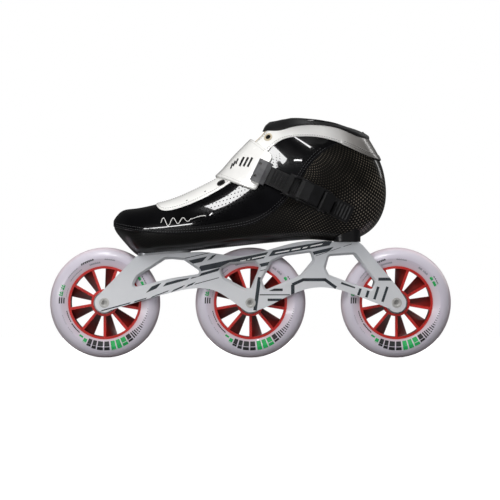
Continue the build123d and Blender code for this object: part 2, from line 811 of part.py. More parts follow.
def make_base():
    base = arc_band(BASE_BOTTOM, BASE_TOP, -24, 24, CHEEK_OUTER)
    post_profile = [(-24, -0.6), (-19, -0.6), (-19, 4.9), (-24, 4.9)]
    for start, end in ((-CHEEK_OUTER, -CHEEK_INNER), (CHEEK_INNER, CHEEK_OUTER)):
        base += profile(CHEEK, start, end, 0.4)
        base += profile(post_profile, start, end)
    base += profile([(-24, 3.2), (-19, 3.2), (-19, 4.9), (-24, 4.9)], -CHEEK_INNER, CHEEK_INNER)
    for place in (LEVER_AXLE_AT, RELEASE_AXLE_AT):
        base -= cross_pin(BUCKLE_AXLE_RADIUS, place, CHEEK_OUTER + 1)
    for along in MOUNT_SCREWS:
        base += cut(stud(4.0, along, 0, -9, BASE_BOTTOM), outer_body)
        base -= stud(1.5, along, 0, -10, 1)
        base -= stud(3.0, along, 0, BASE_TOP - 1.0, 1)
    return base


def make_mount_screws():
    screws = Part()
    for along in MOUNT_SCREWS:
        screw = stud(1.5, along, 0, -9, BASE_TOP - 0.5)
        screw += stud(3.0, along, 0, BASE_TOP - 1.0, BASE_TOP - 0.1)
        screws += cut(screw, middle_body)
    return screws


def make_lever():
    """Pull lever with its drive tooth."""
    arm = [
        (-12.2, 6.2),
        (-11.6, 10.6),
        (-8, 12.4),
        (1, 12.8),
        (11.5, 11.6),
        (11.5, 10.4),
        (1, 10.4),
        (-3.4, 8.6),
        (-4.6, 2.9),
        (-6.2, 2.9),
        (-8.2, 4.8),
    ]
    lever = profile(arm, -LEVER_HALF, LEVER_HALF, 0.25)
    lever -= cross_pin(BUCKLE_AXLE_RADIUS + PIVOT_GAP, LEVER_AXLE_AT, LEVER_HALF + 1)
    return lever - cross_pin(SPRING_ROOM, LEVER_AXLE_AT, SPRING_HALF + 0.3)


def make_release():
    """Release tab with its locking tooth."""
    arm = [
        (12.4, 8.2),
        (15, 9.8),
        (19, 9.2),
        (25, 8.2),
        (25, 6.8),
        (19, 6.2),
        (17, 4.6),
        (11, 2.9),
        (9.4, 2.9),
    ]
    release = profile(arm, -LEVER_HALF, LEVER_HALF, 0.25)
    release -= cross_pin(BUCKLE_AXLE_RADIUS + PIVOT_GAP, RELEASE_AXLE_AT, LEVER_HALF + 1)
    return release - cross_pin(RELEASE_SPRING_ROOM, RELEASE_AXLE_AT, SPRING_HALF + 0.3)


def make_spring(place, outer):
    """Closely wound spring seen as its sleeve."""
    spring = cross_pin(outer, place, SPRING_HALF)
    return spring - cross_pin(BUCKLE_AXLE_RADIUS + PIVOT_GAP, place, SPRING_HALF + 1)


LEVER_HALF = 8.9
PIVOT_GAP = 0.05
SPRING_HALF = 2.5
SPRING_ROOM = 2.6
RELEASE_SPRING_ROOM = 2.3


def make_ladder():
    ladder = arc_band(0, LADDER_THICKNESS, -52, 47, LADDER_HALF_WIDTH)
    top = LADDER_THICKNESS + TOOTH_HEIGHT
    for k in range(26):
        foot = -40 + k * TOOTH_PITCH
        tooth = [(foot, 1.6), (foot + 2.2, 1.6), (foot + 2.2, top), (foot + 1.5, top)]
        ladder += profile(tooth, -6.8, 6.8)
    return ladder


CLAMP_HALF = 11.5
CLAMP_RIVETS = (-6.5, 6.5)
CLAMP_PROFILE = [(-58, -1.2), (-58, 3.8), (-55.5, 6.2), (-48.5, 6.2), (-44, 3.4), (-44, -1.2)]
CLAMP_RIVET_AT = -54.8
CLAMP_RIVET_RADIUS = 1.4
clamp_block = profile(CLAMP_PROFILE, -CLAMP_HALF, CLAMP_HALF, 0.4)
ladder = make_ladder()
clamp = cut(clamp_block, ladder)
clamp_rivets = Part()
for across in CLAMP_RIVETS:
    clamp = cut(clamp, stud(CLAMP_RIVET_RADIUS, CLAMP_RIVET_AT, across, -2, 8))
    clamp_rivets += stud(CLAMP_RIVET_RADIUS, CLAMP_RIVET_AT, across, -1.2, 6.6)

STRAP_OUTLINE = [
    (-40, 174.5),
    (-14.5, 173.5),
    (-2, 167.5),
    (7.5, 171),
    (22.5, 199),
    (3, 222),
    (-12, 240),
    (-60, 200),
    (-40, 174.5),
]
ANCHOR = (10.0, 183.0)
strap = meet(boot_body(STRAP_OUTSIDE, 1), prism(straight(*STRAP_OUTLINE), -FAR, FAR))
strap = cut(strap, boot_body(STRAP_INSIDE, 1))
strap = largest(cut(strap, outer_body, clamp_block, rod(2.6, 0, FAR, *ANCHOR)))
# the tongue keeps clear of the strap over it
tongue = largest(cut(tongue, strap, strap.moved(Location((0.15, 0.3, -0.3)))))

rivet_shank = cut(meet(boot_body(-3.8, 1), rod(2.2, 0, FAR, *ANCHOR)), middle_body)
rivet_head = cut(meet(boot_body(-4.8, 1), rod(4.6, 0, FAR, *ANCHOR)), boot_body(-3.5, 1))
strap_rivet = rivet_shank + rivet_head
collar_band = cut(collar_band, rod(2.2, 0, FAR, *ANCHOR))
upper = cut(upper, rod(2.2, 0, FAR, *ANCHOR))
carbon_shell = cut(carbon_shell, rod(2.2, 0, FAR, *ANCHOR))
for along in MOUNT_SCREWS:
    carbon_shell = cut(carbon_shell, stud(1.5, along, 0, -10, 0))
    upper = cut(upper, stud(1.5, along, 0, -10, 0))

save("buckle_base", make_base())
save("buckle_mount_screws", make_mount_screws())
save("lever_axle", cross_pin(BUCKLE_AXLE_RADIUS, LEVER_AXLE_AT, CHEEK_OUTER + 0.3))
save("release_axle", cross_pin(BUCKLE_AXLE_RADIUS, RELEASE_AXLE_AT, CHEEK_OUTER + 0.3))
save("pull_lever", make_lever())
save("release_lever", make_release())
save("lever_spring", make_spring(LEVER_AXLE_AT, SPRING_ROOM - 0.1))
save("release_spring", make_spring(RELEASE_AXLE_AT, RELEASE_SPRING_ROOM - 0.1))
save("ladder_strap", ladder)
save("ladder_clamp", clamp)
save("clamp_rivets", clamp_rivets)
save("instep_strap", strap)
save("strap_rivet", strap_rivet)
for name, shape in (
    ("carbon_shell", carbon_shell),
    ("upper", upper),
    ("collar_band", collar_band),
    ("collar_liner", liner),
    ("tongue", tongue),
    ("insole", insole),
    ("eyelets", eyelets),
):
    save(name, shape)
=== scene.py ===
"""Inline speed skate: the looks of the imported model, in metres, in the model's own frame."""
from math import cos, hypot, pi, radians, sin

import bmesh
import bpy
import numpy as np
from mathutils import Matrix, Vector


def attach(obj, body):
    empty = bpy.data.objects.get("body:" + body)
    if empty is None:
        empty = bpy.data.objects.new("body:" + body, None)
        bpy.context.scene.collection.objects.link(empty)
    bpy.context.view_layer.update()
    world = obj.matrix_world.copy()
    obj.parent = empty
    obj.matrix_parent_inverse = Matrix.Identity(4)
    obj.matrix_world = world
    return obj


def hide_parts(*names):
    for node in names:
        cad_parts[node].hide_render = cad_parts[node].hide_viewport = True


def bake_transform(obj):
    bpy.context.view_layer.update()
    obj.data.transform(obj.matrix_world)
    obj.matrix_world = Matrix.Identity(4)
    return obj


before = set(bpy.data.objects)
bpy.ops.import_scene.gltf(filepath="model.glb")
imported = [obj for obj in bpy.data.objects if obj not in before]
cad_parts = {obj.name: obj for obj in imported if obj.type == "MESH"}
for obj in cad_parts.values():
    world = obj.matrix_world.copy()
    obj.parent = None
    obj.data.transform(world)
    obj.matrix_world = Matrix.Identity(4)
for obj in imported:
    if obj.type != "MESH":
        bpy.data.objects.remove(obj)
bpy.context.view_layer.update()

MM = 0.001
WHEELS = {"front": -145.25, "middle": 0.0, "rear": 145.25}
AXLE_HEIGHT = 55.0
PLATE_FACE = 17.0


# ---------------------------------------------------------------- node helpers
class Shader:
    """A material with a short way to add and join nodes."""

    def __init__(self, name):
        self.material = bpy.data.materials.new(name)
        self.material.use_nodes = True
        self.tree = self.material.node_tree
        self.surface = self.tree.nodes["Principled BSDF"]

    def set(self, **values):
        for key, value in values.items():
            self.surface.inputs[key.replace("_", " ")].default_value = value
        return self

    def node(self, kind, **inputs):
        node = self.tree.nodes.new(kind)
        for key, value in inputs.items():
            self.feed(node.inputs[key.replace("_", " ")], value)
        return node

    def feed(self, socket, value):
        if hasattr(value, "is_output"):
            self.tree.links.new(value, socket)
        else:
            socket.default_value = value

    def math(self, operation, first, second=0.0, third=0.0, clamp=False):
        node = self.tree.nodes.new("ShaderNodeMath")
        node.operation = operation
        node.use_clamp = clamp
        for socket, value in zip(node.inputs, (first, second, third)):
            self.feed(socket, value)
        return node.outputs[0]

    def mix(self, amount, one, other):
        node = self.tree.nodes.new("ShaderNodeMix")
        node.data_type = "RGBA"
        self.feed(node.inputs["Factor"], amount)
        self.feed(node.inputs["A"], one)
        self.feed(node.inputs["B"], other)
        return node.outputs["Result"]

    def noise(self, vector, scale, detail=3.0, rough=0.55):
        node = self.node("ShaderNodeTexNoise", Vector=vector, Scale=scale, Detail=detail, Roughness=rough)
        return node.outputs["Fac"]

    def ramp(self, value, *stops):
        node = self.node("ShaderNodeValToRGB", Fac=value)
        elements = node.color_ramp.elements
        while len(elements) < len(stops):
            elements.new(0.5)
        for element, (place, colour) in zip(elements, stops):
            element.position = place
            element.color = (*colour, 1.0)
        return node.outputs["Color"]

    def place(self):
        """Position in metres in the model's frame."""
        return self.node("ShaderNodeTexCoord").outputs["Object"]

    def uv(self, scale):
        """Surface position of a boot panel, in millimetres times the scale."""
        source = self.node("ShaderNodeTexCoord").outputs["UV"]
        node = self.tree.nodes.new("ShaderNodeVectorMath")
        node.operation = "SCALE"
        self.feed(node.inputs[0], source)
        node.inputs["Scale"].default_value = scale / UV_PER_MM
        return node.outputs[0]

    def split(self, vector):
        return self.node("ShaderNodeSeparateXYZ", Vector=vector).outputs

    def bump(self, height, distance, strength=1.0):
        node = self.node("ShaderNodeBump", Height=height, Distance=distance, Strength=strength)
        self.feed(self.surface.inputs["Normal"], node.outputs["Normal"])
        return node

    def colour(self, value):
        self.feed(self.surface.inputs["Base Color"], value)

    def roughness(self, value):
        self.feed(self.surface.inputs["Roughness"], value)


UV_PER_MM = 0.01


def rgb(r, g, b):
    """Display colour, 0 to 255, as a linear colour."""
    return tuple(((c / 255 + 0.055) / 1.055) ** 2.4 if c > 10 else c / 255 / 12.92 for c in (r, g, b))


def rgba(r, g, b):
    return (*rgb(r, g, b), 1.0)


# ---------------------------------------------------------------- materials
def worn_metal(name, dark, light, metallic, rough_low, rough_high, grain=900.0):
    """Machined metal: fine directional grain and soft cloudiness."""
    s = Shader(name)
    s.set(Metallic=metallic)
    place = s.place()
    cloud = s.noise(place, 60.0, 4.0)
    stretch = s.node("ShaderNodeMapping", Vector=place, Scale=(0.06, 1.0, 1.0)).outputs[0]
    lines = s.noise(stretch, grain * 4, 3.0)
    s.colour(s.ramp(cloud, (0.3, dark), (0.7, light)))
    tone = s.math("MULTIPLY_ADD", lines, rough_high - rough_low, rough_low)
    s.roughness(tone)
    s.bump(lines, 0.00002, 0.35)
    return s.material


def frame_metal():
    """Satin anodised aluminium, paler along the beams, greyer with height towards the top arms: painted shade
    under the boot.
    """
    s = Shader("satin_aluminium")
    s.set(Metallic=0.3, **{"Specular_IOR_Level": 0.5})
    place = s.place()
    _, _, z = s.split(place)
    fine = s.noise(place, 5200.0, 2.0)
    cloud = s.noise(place, 26.0, 3.0)
    # painted shade: the colour darkens with height, from 68 mm up to 139 mm, standing for the shade under the
    # boot
    rise = s.math("MULTIPLY_ADD", z, 14.0, -0.95, clamp=True)
    tone = s.math("MULTIPLY_ADD", cloud, 0.35, rise)
    shade = s.ramp(tone, (0.1, rgb(222, 223, 226)), (0.55, rgb(206, 208, 212)), (1.0, rgb(176, 178, 183)))
    sparkle = s.math("MULTIPLY_ADD", fine, 0.16, 0.92)
    node = s.tree.nodes.new("ShaderNodeVectorMath")
    node.operation = "SCALE"
    s.feed(node.inputs[0], shade)
    s.feed(node.inputs["Scale"], sparkle)
    s.colour(node.outputs[0])
    s.roughness(s.math("MULTIPLY_ADD", fine, 0.14, 0.30))
    s.bump(fine, 0.00001, 0.5)
    return s.material


def tyre_urethane(name, centre_x):
    """Cast polyurethane, lilac grey, warmer towards the hub and the tread."""
    s = Shader(name)
    s.set(
        Subsurface_Weight=0.22,
        Subsurface_Radius=(0.004, 0.0036, 0.004),
        Subsurface_Scale=1.0,
        Coat_Weight=0.25,
        Coat_Roughness=0.12,
    )
    place = s.place()
    x, _, z = s.split(place)
    dx = s.math("SUBTRACT", x, centre_x * MM)
    dz = s.math("SUBTRACT", z, AXLE_HEIGHT * MM)
    radius = s.math("SQRT", s.math("ADD", s.math("MULTIPLY", dx, dx), s.math("MULTIPLY", dz, dz)))
    along = s.math("MULTIPLY_ADD", radius, 1000.0 / 18.5, -36.5 / 18.5, clamp=True)
    cloud = s.noise(place, 34.0, 3.0)
    along = s.math("MULTIPLY_ADD", cloud, 0.10, along)
    s.colour(
        s.ramp(
            along,
            (0.0, rgb(208, 168, 176)),
            (0.14, rgb(205, 190, 200)),
            (0.5, rgb(203, 197, 209)),
            (0.85, rgb(208, 203, 213)),
            (1.0, rgb(214, 200, 208)),
        )
    )
    speck = s.noise(place, 2400.0, 2.0)
    s.roughness(s.math("MULTIPLY_ADD", speck, 0.18, 0.22))
    s.bump(s.noise(place, 420.0, 3.0), 0.00006, 0.25)
    return s.material


def hub_red():
    s = Shader("hub_red")
    s.set(Coat_Weight=0.15, Coat_Roughness=0.12)
    place = s.place()
    cloud = s.noise(place, 70.0, 3.0)
    _, y, _ = s.split(place)
    # painted shade: the hub's inner surfaces, within 8.5 mm of the middle, get a darker red than its outer
    # faces
    lit_face_mask = s.math("GREATER_THAN", s.math("ABSOLUTE", y), 0.0085)
    face = s.ramp(cloud, (0.3, rgb(172, 28, 24)), (0.7, rgb(196, 40, 34)))
    inside = s.ramp(cloud, (0.3, rgb(104, 26, 22)), (0.7, rgb(134, 32, 27)))
    s.colour(s.mix(lit_face_mask, inside, face))
    fine = s.noise(place, 1800.0, 2.0)
    s.roughness(s.math("MULTIPLY_ADD", fine, 0.12, 0.24))
    s.bump(fine, 0.00003, 0.3)
    return s.material


def moulded(name, dark, light, rough, grain=0.00004, coat=0.0):
    """Moulded nylon: fine pebbled skin, slightly uneven tone."""
    s = Shader(name)
    s.set(Coat_Weight=coat, Coat_Roughness=0.2)
    place = s.place()
    cloud = s.noise(place, 120.0, 3.0)
    s.colour(s.ramp(cloud, (0.3, dark), (0.72, light)))
    fine = s.noise(place, 2600.0, 2.0)
    s.roughness(s.math("MULTIPLY_ADD", fine, 0.2, rough))
    s.bump(fine, grain, 0.5)
    return s.material


def carbon_weave():
    """Clear-coated carbon cloth: the weave is its own pattern; each tow crossing carries a small warm dash of
    painted highlight, stronger in patches and towards the heel.
    """
    s = Shader("carbon_weave")
    s.set(Coat_Weight=0.55, Coat_Roughness=0.06, **{"Specular_IOR_Level": 0.12})
    u, v, _ = s.split(s.uv(1.0))
    sway = s.noise(s.uv(0.012), 1.0, 1.0)
    v = s.math("MULTIPLY_ADD", sway, 9.0, v)
    row = s.math("DIVIDE", u, TOW_ROW)
    shift = s.math("MULTIPLY", s.math("FLOORED_MODULO", s.math("FLOOR", row), 2.0), 0.5)
    cell = s.math("ADD", s.math("DIVIDE", v, TOW_CELL), shift)
    across = s.math("SINE", s.math("MULTIPLY", s.math("FRACT", row), pi))
    along = s.math("SINE", s.math("MULTIPLY", s.math("FRACT", cell), pi))
    crown = s.math("MULTIPLY", s.math("POWER", across, 1.5), s.math("POWER", along, 2.5))
    x, _, _ = s.split(s.place())
    # painted highlight: a noise field, stronger towards the heel, brightens the tow crowns in the base colour
    field = s.noise(s.place(), 17.0, 2.0)
    rear = s.math("MULTIPLY_ADD", x, 6.0, 0.32, clamp=True)
    light = s.math("MULTIPLY", s.math("MULTIPLY_ADD", field, 1.5, -0.25, clamp=True), rear)
    painted_glint = s.math("MULTIPLY", crown, s.math("MULTIPLY_ADD", light, 0.9, 0.08))
    s.colour(s.ramp(painted_glint, (0.0, rgb(4, 4, 4)), (0.3, rgb(42, 39, 34)), (0.85, rgb(196, 184, 165))))
    s.roughness(s.math("MULTIPLY_ADD", crown, 0.2, 0.32))
    s.bump(crown, 0.00005, 0.4)
    return s.material


TOW_ROW = 1.9
TOW_CELL = 3.1


def patent(name, dark, light, coat_rough=0.05):
    """Patent leather: flexible coloured skin under a wet-looking varnish."""
    s = Shader(name)
    s.set(Coat_Weight=1.0, Coat_Roughness=coat_rough)
    place = s.place()
    slow = s.noise(place, 34.0, 2.0)
    grain = s.node("ShaderNodeTexVoronoi", Vector=place, Scale=900.0).outputs["Distance"]
    s.colour(s.ramp(slow, (0.3, dark), (0.7, light)))
    s.roughness(s.math("MULTIPLY_ADD", slow, 0.16, 0.18))
    height = s.math("MULTIPLY_ADD", grain, 0.12, slow)
    s.bump(height, 0.0004, 0.22)
    return s.material


def leather(name, dark, light, rough, pore=1500.0):
    s = Shader(name)
    s.set(Sheen_Weight=0.1)
    place = s.place()
    cells = s.node("ShaderNodeTexVoronoi", Vector=place, Scale=pore)
    cells.feature = "DISTANCE_TO_EDGE"
    edge = s.math("MULTIPLY", cells.outputs["Distance"], 3.0, clamp=True)
    cloud = s.noise(place, 90.0, 3.0)
    s.colour(s.ramp(cloud, (0.3, dark), (0.7, light)))
    s.roughness(s.math("MULTIPLY_ADD", cloud, 0.15, rough))
    s.bump(edge, 0.00008, 0.5)
    return s.material


def knit(name, dark, light, pitch, rough=0.85):
    """Lining fabric: over-and-under knit with a faint fuzz."""
    s = Shader(name)
    s.set(Sheen_Weight=0.35, Sheen_Roughness=0.5)
    x, y, z = s.split(s.place())
    wave_a = s.math("SINE", s.math("MULTIPLY", s.math("ADD", x, y), 2 * pi / pitch))
    wave_b = s.math("SINE", s.math("MULTIPLY", z, 2 * pi / pitch))
    weave = s.math("MULTIPLY_ADD", s.math("MULTIPLY", wave_a, wave_b), 0.5, 0.5)
    fuzz = s.noise(s.place(), 3000.0, 2.0)
    s.colour(s.ramp(s.math("MULTIPLY_ADD", fuzz, 0.3, weave), (0.1, dark), (1.0, light)))
    s.roughness(s.math("MULTIPLY_ADD", fuzz, 0.1, rough - 0.05))
    s.bump(weave, 0.0001, 0.5)
    return s.material


def upper_patent():
    """Black patent leather with a field of fine punched holes below the eyestay."""
    s = Shader("upper_patent")
    place = s.place()
    x, _, z = s.split(place)
    u, v, _ = s.split(s.uv(1 / HOLE_PITCH))
    row = s.math("FLOORED_MODULO", s.math("FLOOR", v), 2.0)
    u = s.math("MULTIPLY_ADD", row, 0.5, u)
    du = s.math("SUBTRACT", s.math("FRACT", u), 0.5)
    dv = s.math("SUBTRACT", s.math("FRACT", v), 0.5)
    away = s.math("SQRT", s.math("ADD", s.math("MULTIPLY", du, du), s.math("MULTIPLY", dv, dv)))
    hole = s.math("LESS_THAN", away, 0.17)
    rise = s.math("MULTIPLY_ADD", x, -0.633, z)
    field = s.math("MULTIPLY", s.math("GREATER_THAN", rise, 0.1588), s.math("LESS_THAN", rise, 0.1848))
    field = s.math("MULTIPLY", field, s.math("GREATER_THAN", x, -0.052))
    field = s.math("MULTIPLY", field, s.math("LESS_THAN", x, 0.030))
    hole = s.math("MULTIPLY", hole, field)
    slow = s.noise(place, 34.0, 2.0)
    skin = s.ramp(slow, (0.3, rgb(3, 3, 4)), (0.7, rgb(9, 9, 12)))
    s.colour(s.mix(hole, skin, rgba(3, 3, 3)))
    s.roughness(s.math("MULTIPLY_ADD", slow, 0.16, 0.16))
    s.feed(s.surface.inputs["Coat Weight"], s.math("SUBTRACT", 1.0, hole))
    s.set(Coat_Roughness=0.03)
    s.feed(s.surface.inputs["Specular IOR Level"], s.math("MULTIPLY_ADD", hole, -0.1, 0.12))
    wave = s.noise(place, 24.0, 2.0)
    s.bump(s.math("SUBTRACT", wave, s.math("MULTIPLY", hole, 0.3)), 0.0009, 0.25)
    return s.material


HOLE_PITCH = 3.9


def band_skin():
    """White patent band, turning to satin silver towards the heel."""
    s = Shader("band_skin")
    place = s.place()
    x, _, _ = s.split(place)
    back = s.math("MULTIPLY_ADD", x, 1000.0 / 70.0, -45.0 / 70.0, clamp=True)
    cloud = s.noise(place, 30.0, 3.0)
    back = s.math("MULTIPLY_ADD", s.math("SUBTRACT", cloud, 0.5), 0.25, back)
    s.colour(
        s.ramp(
            back,
            (0.0, rgb(236, 235, 232)),
            (0.4, rgb(232, 231, 229)),
            (0.62, rgb(204, 202, 200)),
            (0.8, rgb(150, 147, 144)),
            (1.0, rgb(118, 115, 112)),
        )
    )
    s.feed(s.surface.inputs["Metallic"], s.math("MULTIPLY", back, 0.25, clamp=True))
    s.roughness(s.math("MULTIPLY_ADD", cloud, 0.12, 0.26))
    s.set(Coat_Weight=0.5, Coat_Roughness=0.12)
    grain = s.noise(place, 1300.0, 2.0)
    s.bump(grain, 0.00004, 0.4)
    return s.material


MATERIALS = {
    "frame": frame_metal(),
    "upper": upper_patent(),
    "hub": hub_red(),
    "steel": worn_metal("ground_steel", rgb(150, 152, 156), rgb(196, 198, 202), 1.0, 0.2, 0.4),
    "axle": worn_metal("axle_steel", rgb(176, 175, 173), rgb(206, 205, 202), 0.35, 0.25, 0.42),
    "black_steel": worn_metal("black_oxide_steel", rgb(28, 28, 30), rgb(52, 52, 55), 0.8, 0.3, 0.5),
    "mount": worn_metal("mount_alloy", rgb(150, 152, 156), rgb(182, 184, 188), 0.8, 0.35, 0.5),
    "gunmetal": worn_metal("gunmetal", rgb(58, 57, 58), rgb(104, 102, 100), 0.9, 0.2, 0.36),
    "nylon": moulded("buckle_nylon", rgb(8, 8, 9), rgb(18, 18, 20), 0.30, coat=0.25),
    "ladder": moulded("ladder_nylon", rgb(9, 9, 10), rgb(20, 20, 21), 0.32, coat=0.2),
    "clamp": moulded("clamp_grey", rgb(84, 84, 86), rgb(106, 106, 108), 0.32, coat=0.2),
    "carbon": carbon_weave(),
    "band": band_skin(),
    "tongue": leather("tongue_black", rgb(22, 22, 24), rgb(38, 38, 40), 0.5),
    "white": patent("strap_white", rgb(226, 225, 222), rgb(240, 239, 236), 0.12),
    "padding": leather("collar_padding", rgb(7, 7, 8), rgb(17, 17, 18), 0.42, 900.0),
    "lining": knit("lining_knit", rgb(20, 20, 22), rgb(46, 46, 49), 0.0011),
    "footbed": knit("footbed_knit", rgb(34, 34, 37), rgb(62, 62, 66), 0.0014),
    "thread": leather("thread", rgb(96, 94, 92), rgb(140, 138, 134), 0.6),
    "dark_thread": leather("dark_thread", rgb(30, 30, 32), rgb(58, 58, 60), 0.6),
    "beige": leather("beige_edge", rgb(190, 176, 150), rgb(212, 200, 176), 0.55),
    # painted shade: near-black matte for the dark depth inside the eyelet and punch holes
    "hole": moulded("painted_hole_shade", rgb(2, 2, 2), rgb(5, 5, 5), 0.9),
    "print": moulded("plate_print", rgb(34, 39, 45), rgb(46, 52, 59), 0.38),
    "print_white": moulded("pale_print", rgb(226, 227, 228), rgb(240, 240, 240), 0.4),
    "tyre_black": moulded("tyre_print_black", rgb(22, 22, 24), rgb(36, 36, 38), 0.4),
    "tyre_green": moulded("tyre_print_green", rgb(12, 150, 72), rgb(30, 178, 92), 0.4),
    "tyre_grey": moulded("tyre_print_grey", rgb(140, 138, 146), rgb(160, 158, 166), 0.4),
}
for wheel, wheel_x in WHEELS.items():
    MATERIALS[f"{wheel}_tyre"] = tyre_urethane(f"{wheel}_urethane", wheel_x)


def dress_node(node, key, bevel=0.0):
    """Give a CAD piece its material and, on hard edges, a small rounding."""
    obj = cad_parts[node]
    for index in range(len(obj.material_slots)):
        obj.material_slots[index].material = MATERIALS[key]
    if bevel:
        modifier = obj.modifiers.new("edge_rounding", "BEVEL")
        modifier.width = bevel * MM
        modifier.segments = 2
        modifier.limit_method = "ANGLE"
        modifier.angle_limit = radians(35)
        modifier.harden_normals = False


# ---------------------------------------------------------------- mesh helpers
def make_piece(name, points, faces, material, body, slot=None, uvs=None, smooth=True):
    """A mesh piece from millimetre points."""
    mesh = bpy.data.meshes.new(name)
    mesh.from_pydata([tuple(p) for p in np.asarray(points, float) * MM], [], [tuple(f) for f in faces])
    if uvs is not None:
        layer = mesh.uv_layers.new(name="UVMap")
        loops = np.empty(len(mesh.loops), dtype=np.int32)
        mesh.loops.foreach_get("vertex_index", loops)
        layer.data.foreach_set("uv", (np.asarray(uvs)[loops] * UV_PER_MM).ravel())
    mesh.polygons.foreach_set("use_smooth", [smooth] * len(mesh.polygons))
    mesh.validate()
    obj = bpy.data.objects.new(name, mesh)
    bpy.context.scene.collection.objects.link(obj)
    mesh.materials.append(MATERIALS[material])
    if body:
        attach(obj, body)
    return obj


class Batch:
    """Many small meshes gathered into one piece."""

    def __init__(self):
        self.points = []
        self.faces = []

    def add(self, points, faces):
        base = len(self.points)
        self.points.extend(tuple(p) for p in points)
        self.faces.extend(tuple(i + base for i in f) for f in faces)

    def piece(self, name, material, body, slot=None, smooth=True):
        return make_piece(name, self.points, self.faces, material, body, slot, smooth=smooth)


def capsule(start, end, width, height, normal, around=6):
    """A stitch: a low rounded dash between two points."""
    start, end, normal = (np.asarray(p, float) for p in (start, end, normal))
    along = end - start
    length = np.linalg.norm(along)
    along = along / length
    across = np.cross(normal, along)
    points = []
    for place, size in ((0.0, 0.35), (0.18, 0.85), (0.5, 1.0), (0.82, 0.85), (1.0, 0.35)):
        centre = start + along * length * place
        for k in range(around):
            turn = 2 * pi * k / around
            points.append(
                centre + across * (width / 2 * size * cos(turn)) + normal * (height * size * sin(turn))
            )
    faces = []
    for ring in range(4):
        for k in range(around):
            n = (k + 1) % around
            faces.append(
                (ring * around + k, ring * around + n, (ring + 1) * around + n, (ring + 1) * around + k)
            )
    faces.append(tuple(reversed(range(around))))
    faces.append(tuple(range(4 * around, 5 * around)))
    return points, faces


def tube_along(points, radius, around=8, closed=False):
    """A round cord through the points."""
    points = np.asarray(points, float)
    count = len(points)
    rings = []
    for i in range(count):
        before = points[i - 1] if (i or closed) else points[0]
        after = points[(i + 1) % count] if (i < count - 1 or closed) else points[-1]
        way = after - before
        way = way / np.linalg.norm(way)
        helper = np.array([0, 0, 1.0]) if abs(way[2]) < 0.9 else np.array([1.0, 0, 0])
        one = np.cross(way, helper)
        one /= np.linalg.norm(one)
        two = np.cross(way, one)
        rings.extend(
            points[i] + radius * (cos(2 * pi * k / around) * one + sin(2 * pi * k / around) * two)
            for k in range(around)
        )
    faces = []
    for i in range(count if closed else count - 1):
        j = (i + 1) % count
        for k in range(around):
            n = (k + 1) % around
            faces.append((i * around + k, i * around + n, j * around + n, j * around + k))
    return rings, faces


# ---------------------------------------------------------------- boot surface
# low x, z | high x, z | middle | half width | widest height | sole and crown squareness
STATIONS = np.array(
    [
        (-136.9, 130.0, -136.9, 137.0, 10.0, 7.0, 0.50, 2.2, 2.2),
        (-134.5, 125.0, -134.5, 140.8, 10.5, 16.5, 0.50, 2.4, 2.2),
        (-130.5, 119.8, -130.5, 145.0, 10.0, 23.0, 0.50, 2.6, 2.3),
        (-123.5, 111.8, -124.0, 147.8, 8.0, 30.5, 0.52, 2.6, 2.4),
        (-113.5, 102.6, -115.0, 148.8, 5.8, 36.3, 0.54, 2.6, 2.4),
        (-95.0, 102.6, -97.0, 152.3, 3.5, 42.0, 0.50, 2.8, 2.4),
        (-70.0, 105.2, -74.0, 159.0, 1.5, 46.0, 0.46, 2.8, 2.3),
        (-45.0, 107.9, -51.0, 169.5, -0.5, 47.5, 0.42, 2.8, 2.1),
        (-18.0, 110.8, -30.0, 181.5, -2.0, 45.5, 0.40, 2.7, 1.95),
        (10.0, 113.8, -11.5, 198.5, -2.2, 41.8, 0.40, 2.6, 1.9),
        (38.0, 116.4, 2.0, 215.0, -1.7, 38.8, 0.40, 2.5, 1.9),
        (66.0, 117.6, 9.5, 223.5, -1.0, 37.0, 0.42, 2.4, 1.9),
        (90.0, 116.2, 13.0, 228.5, -0.5, 36.0, 0.44, 2.3, 1.9),
        (111.5, 121.5, 15.0, 231.0, 0.0, 35.3, 0.46, 2.2, 2.0),
        (126.0, 133.5, 16.0, 232.7, 0.0, 34.8, 0.47, 2.1, 2.0),
        (134.5, 153.0, 16.6, 234.0, 0.0, 34.5, 0.48, 2.1, 2.0),
        (135.0, 174.0, 17.1, 235.3, 0.0, 34.8, 0.48, 2.1, 2.0),
        (130.5, 193.5, 17.6, 236.5, 0.0, 35.3, 0.48, 2.1, 2.0),
        (121.5, 211.0, 18.0, 237.7, 0.0, 36.0, 0.48, 2.1, 2.0),
        (112.5, 226.0, 18.4, 239.0, 0.0, 36.8, 0.48, 2.1, 2.0),
        (106.0, 237.5, 18.8, 242.5, 0.0, 37.3, 0.48, 2.1, 2.0),
    ]
)


def natural_spline(knots, values):
    """Second derivatives of the natural cubic through the values."""
    count = len(knots)
    gap = np.diff(knots)
    matrix = np.zeros((count, count))
    right = np.zeros((count, values.shape[1]))
    matrix[0, 0] = matrix[-1, -1] = 1.0
    for i in range(1, count - 1):
        matrix[i, i - 1 : i + 2] = gap[i - 1], 2 * (gap[i - 1] + gap[i]), gap[i]
        right[i] = 6 * (
            (values[i + 1] - values[i]) / gap[i] - (values[i] - values[i - 1]) / gap[i - 1]
        )
    return np.linalg.solve(matrix, right)


class Curve:
    """A smooth curve of several columns through its rows."""

    def __init__(self, knots, values):
        self.knots = np.asarray(knots, float)
        self.values = np.asarray(values, float)
        self.bend = natural_spline(self.knots, self.values)

    def __call__(self, t):
        t = np.atleast_1d(np.asarray(t, float))
        i = np.clip(np.searchsorted(self.knots, t) - 1, 0, len(self.knots) - 2)
        gap = self.knots[i + 1] - self.knots[i]
        a = ((self.knots[i + 1] - t) / gap)[:, None]
        b = 1 - a
        gap = gap[:, None]
        cubic = (a**3 - a) * self.bend[i] + (b**3 - b) * self.bend[i + 1]
        return a * self.values[i] + b * self.values[i + 1] + cubic * gap**2 / 6


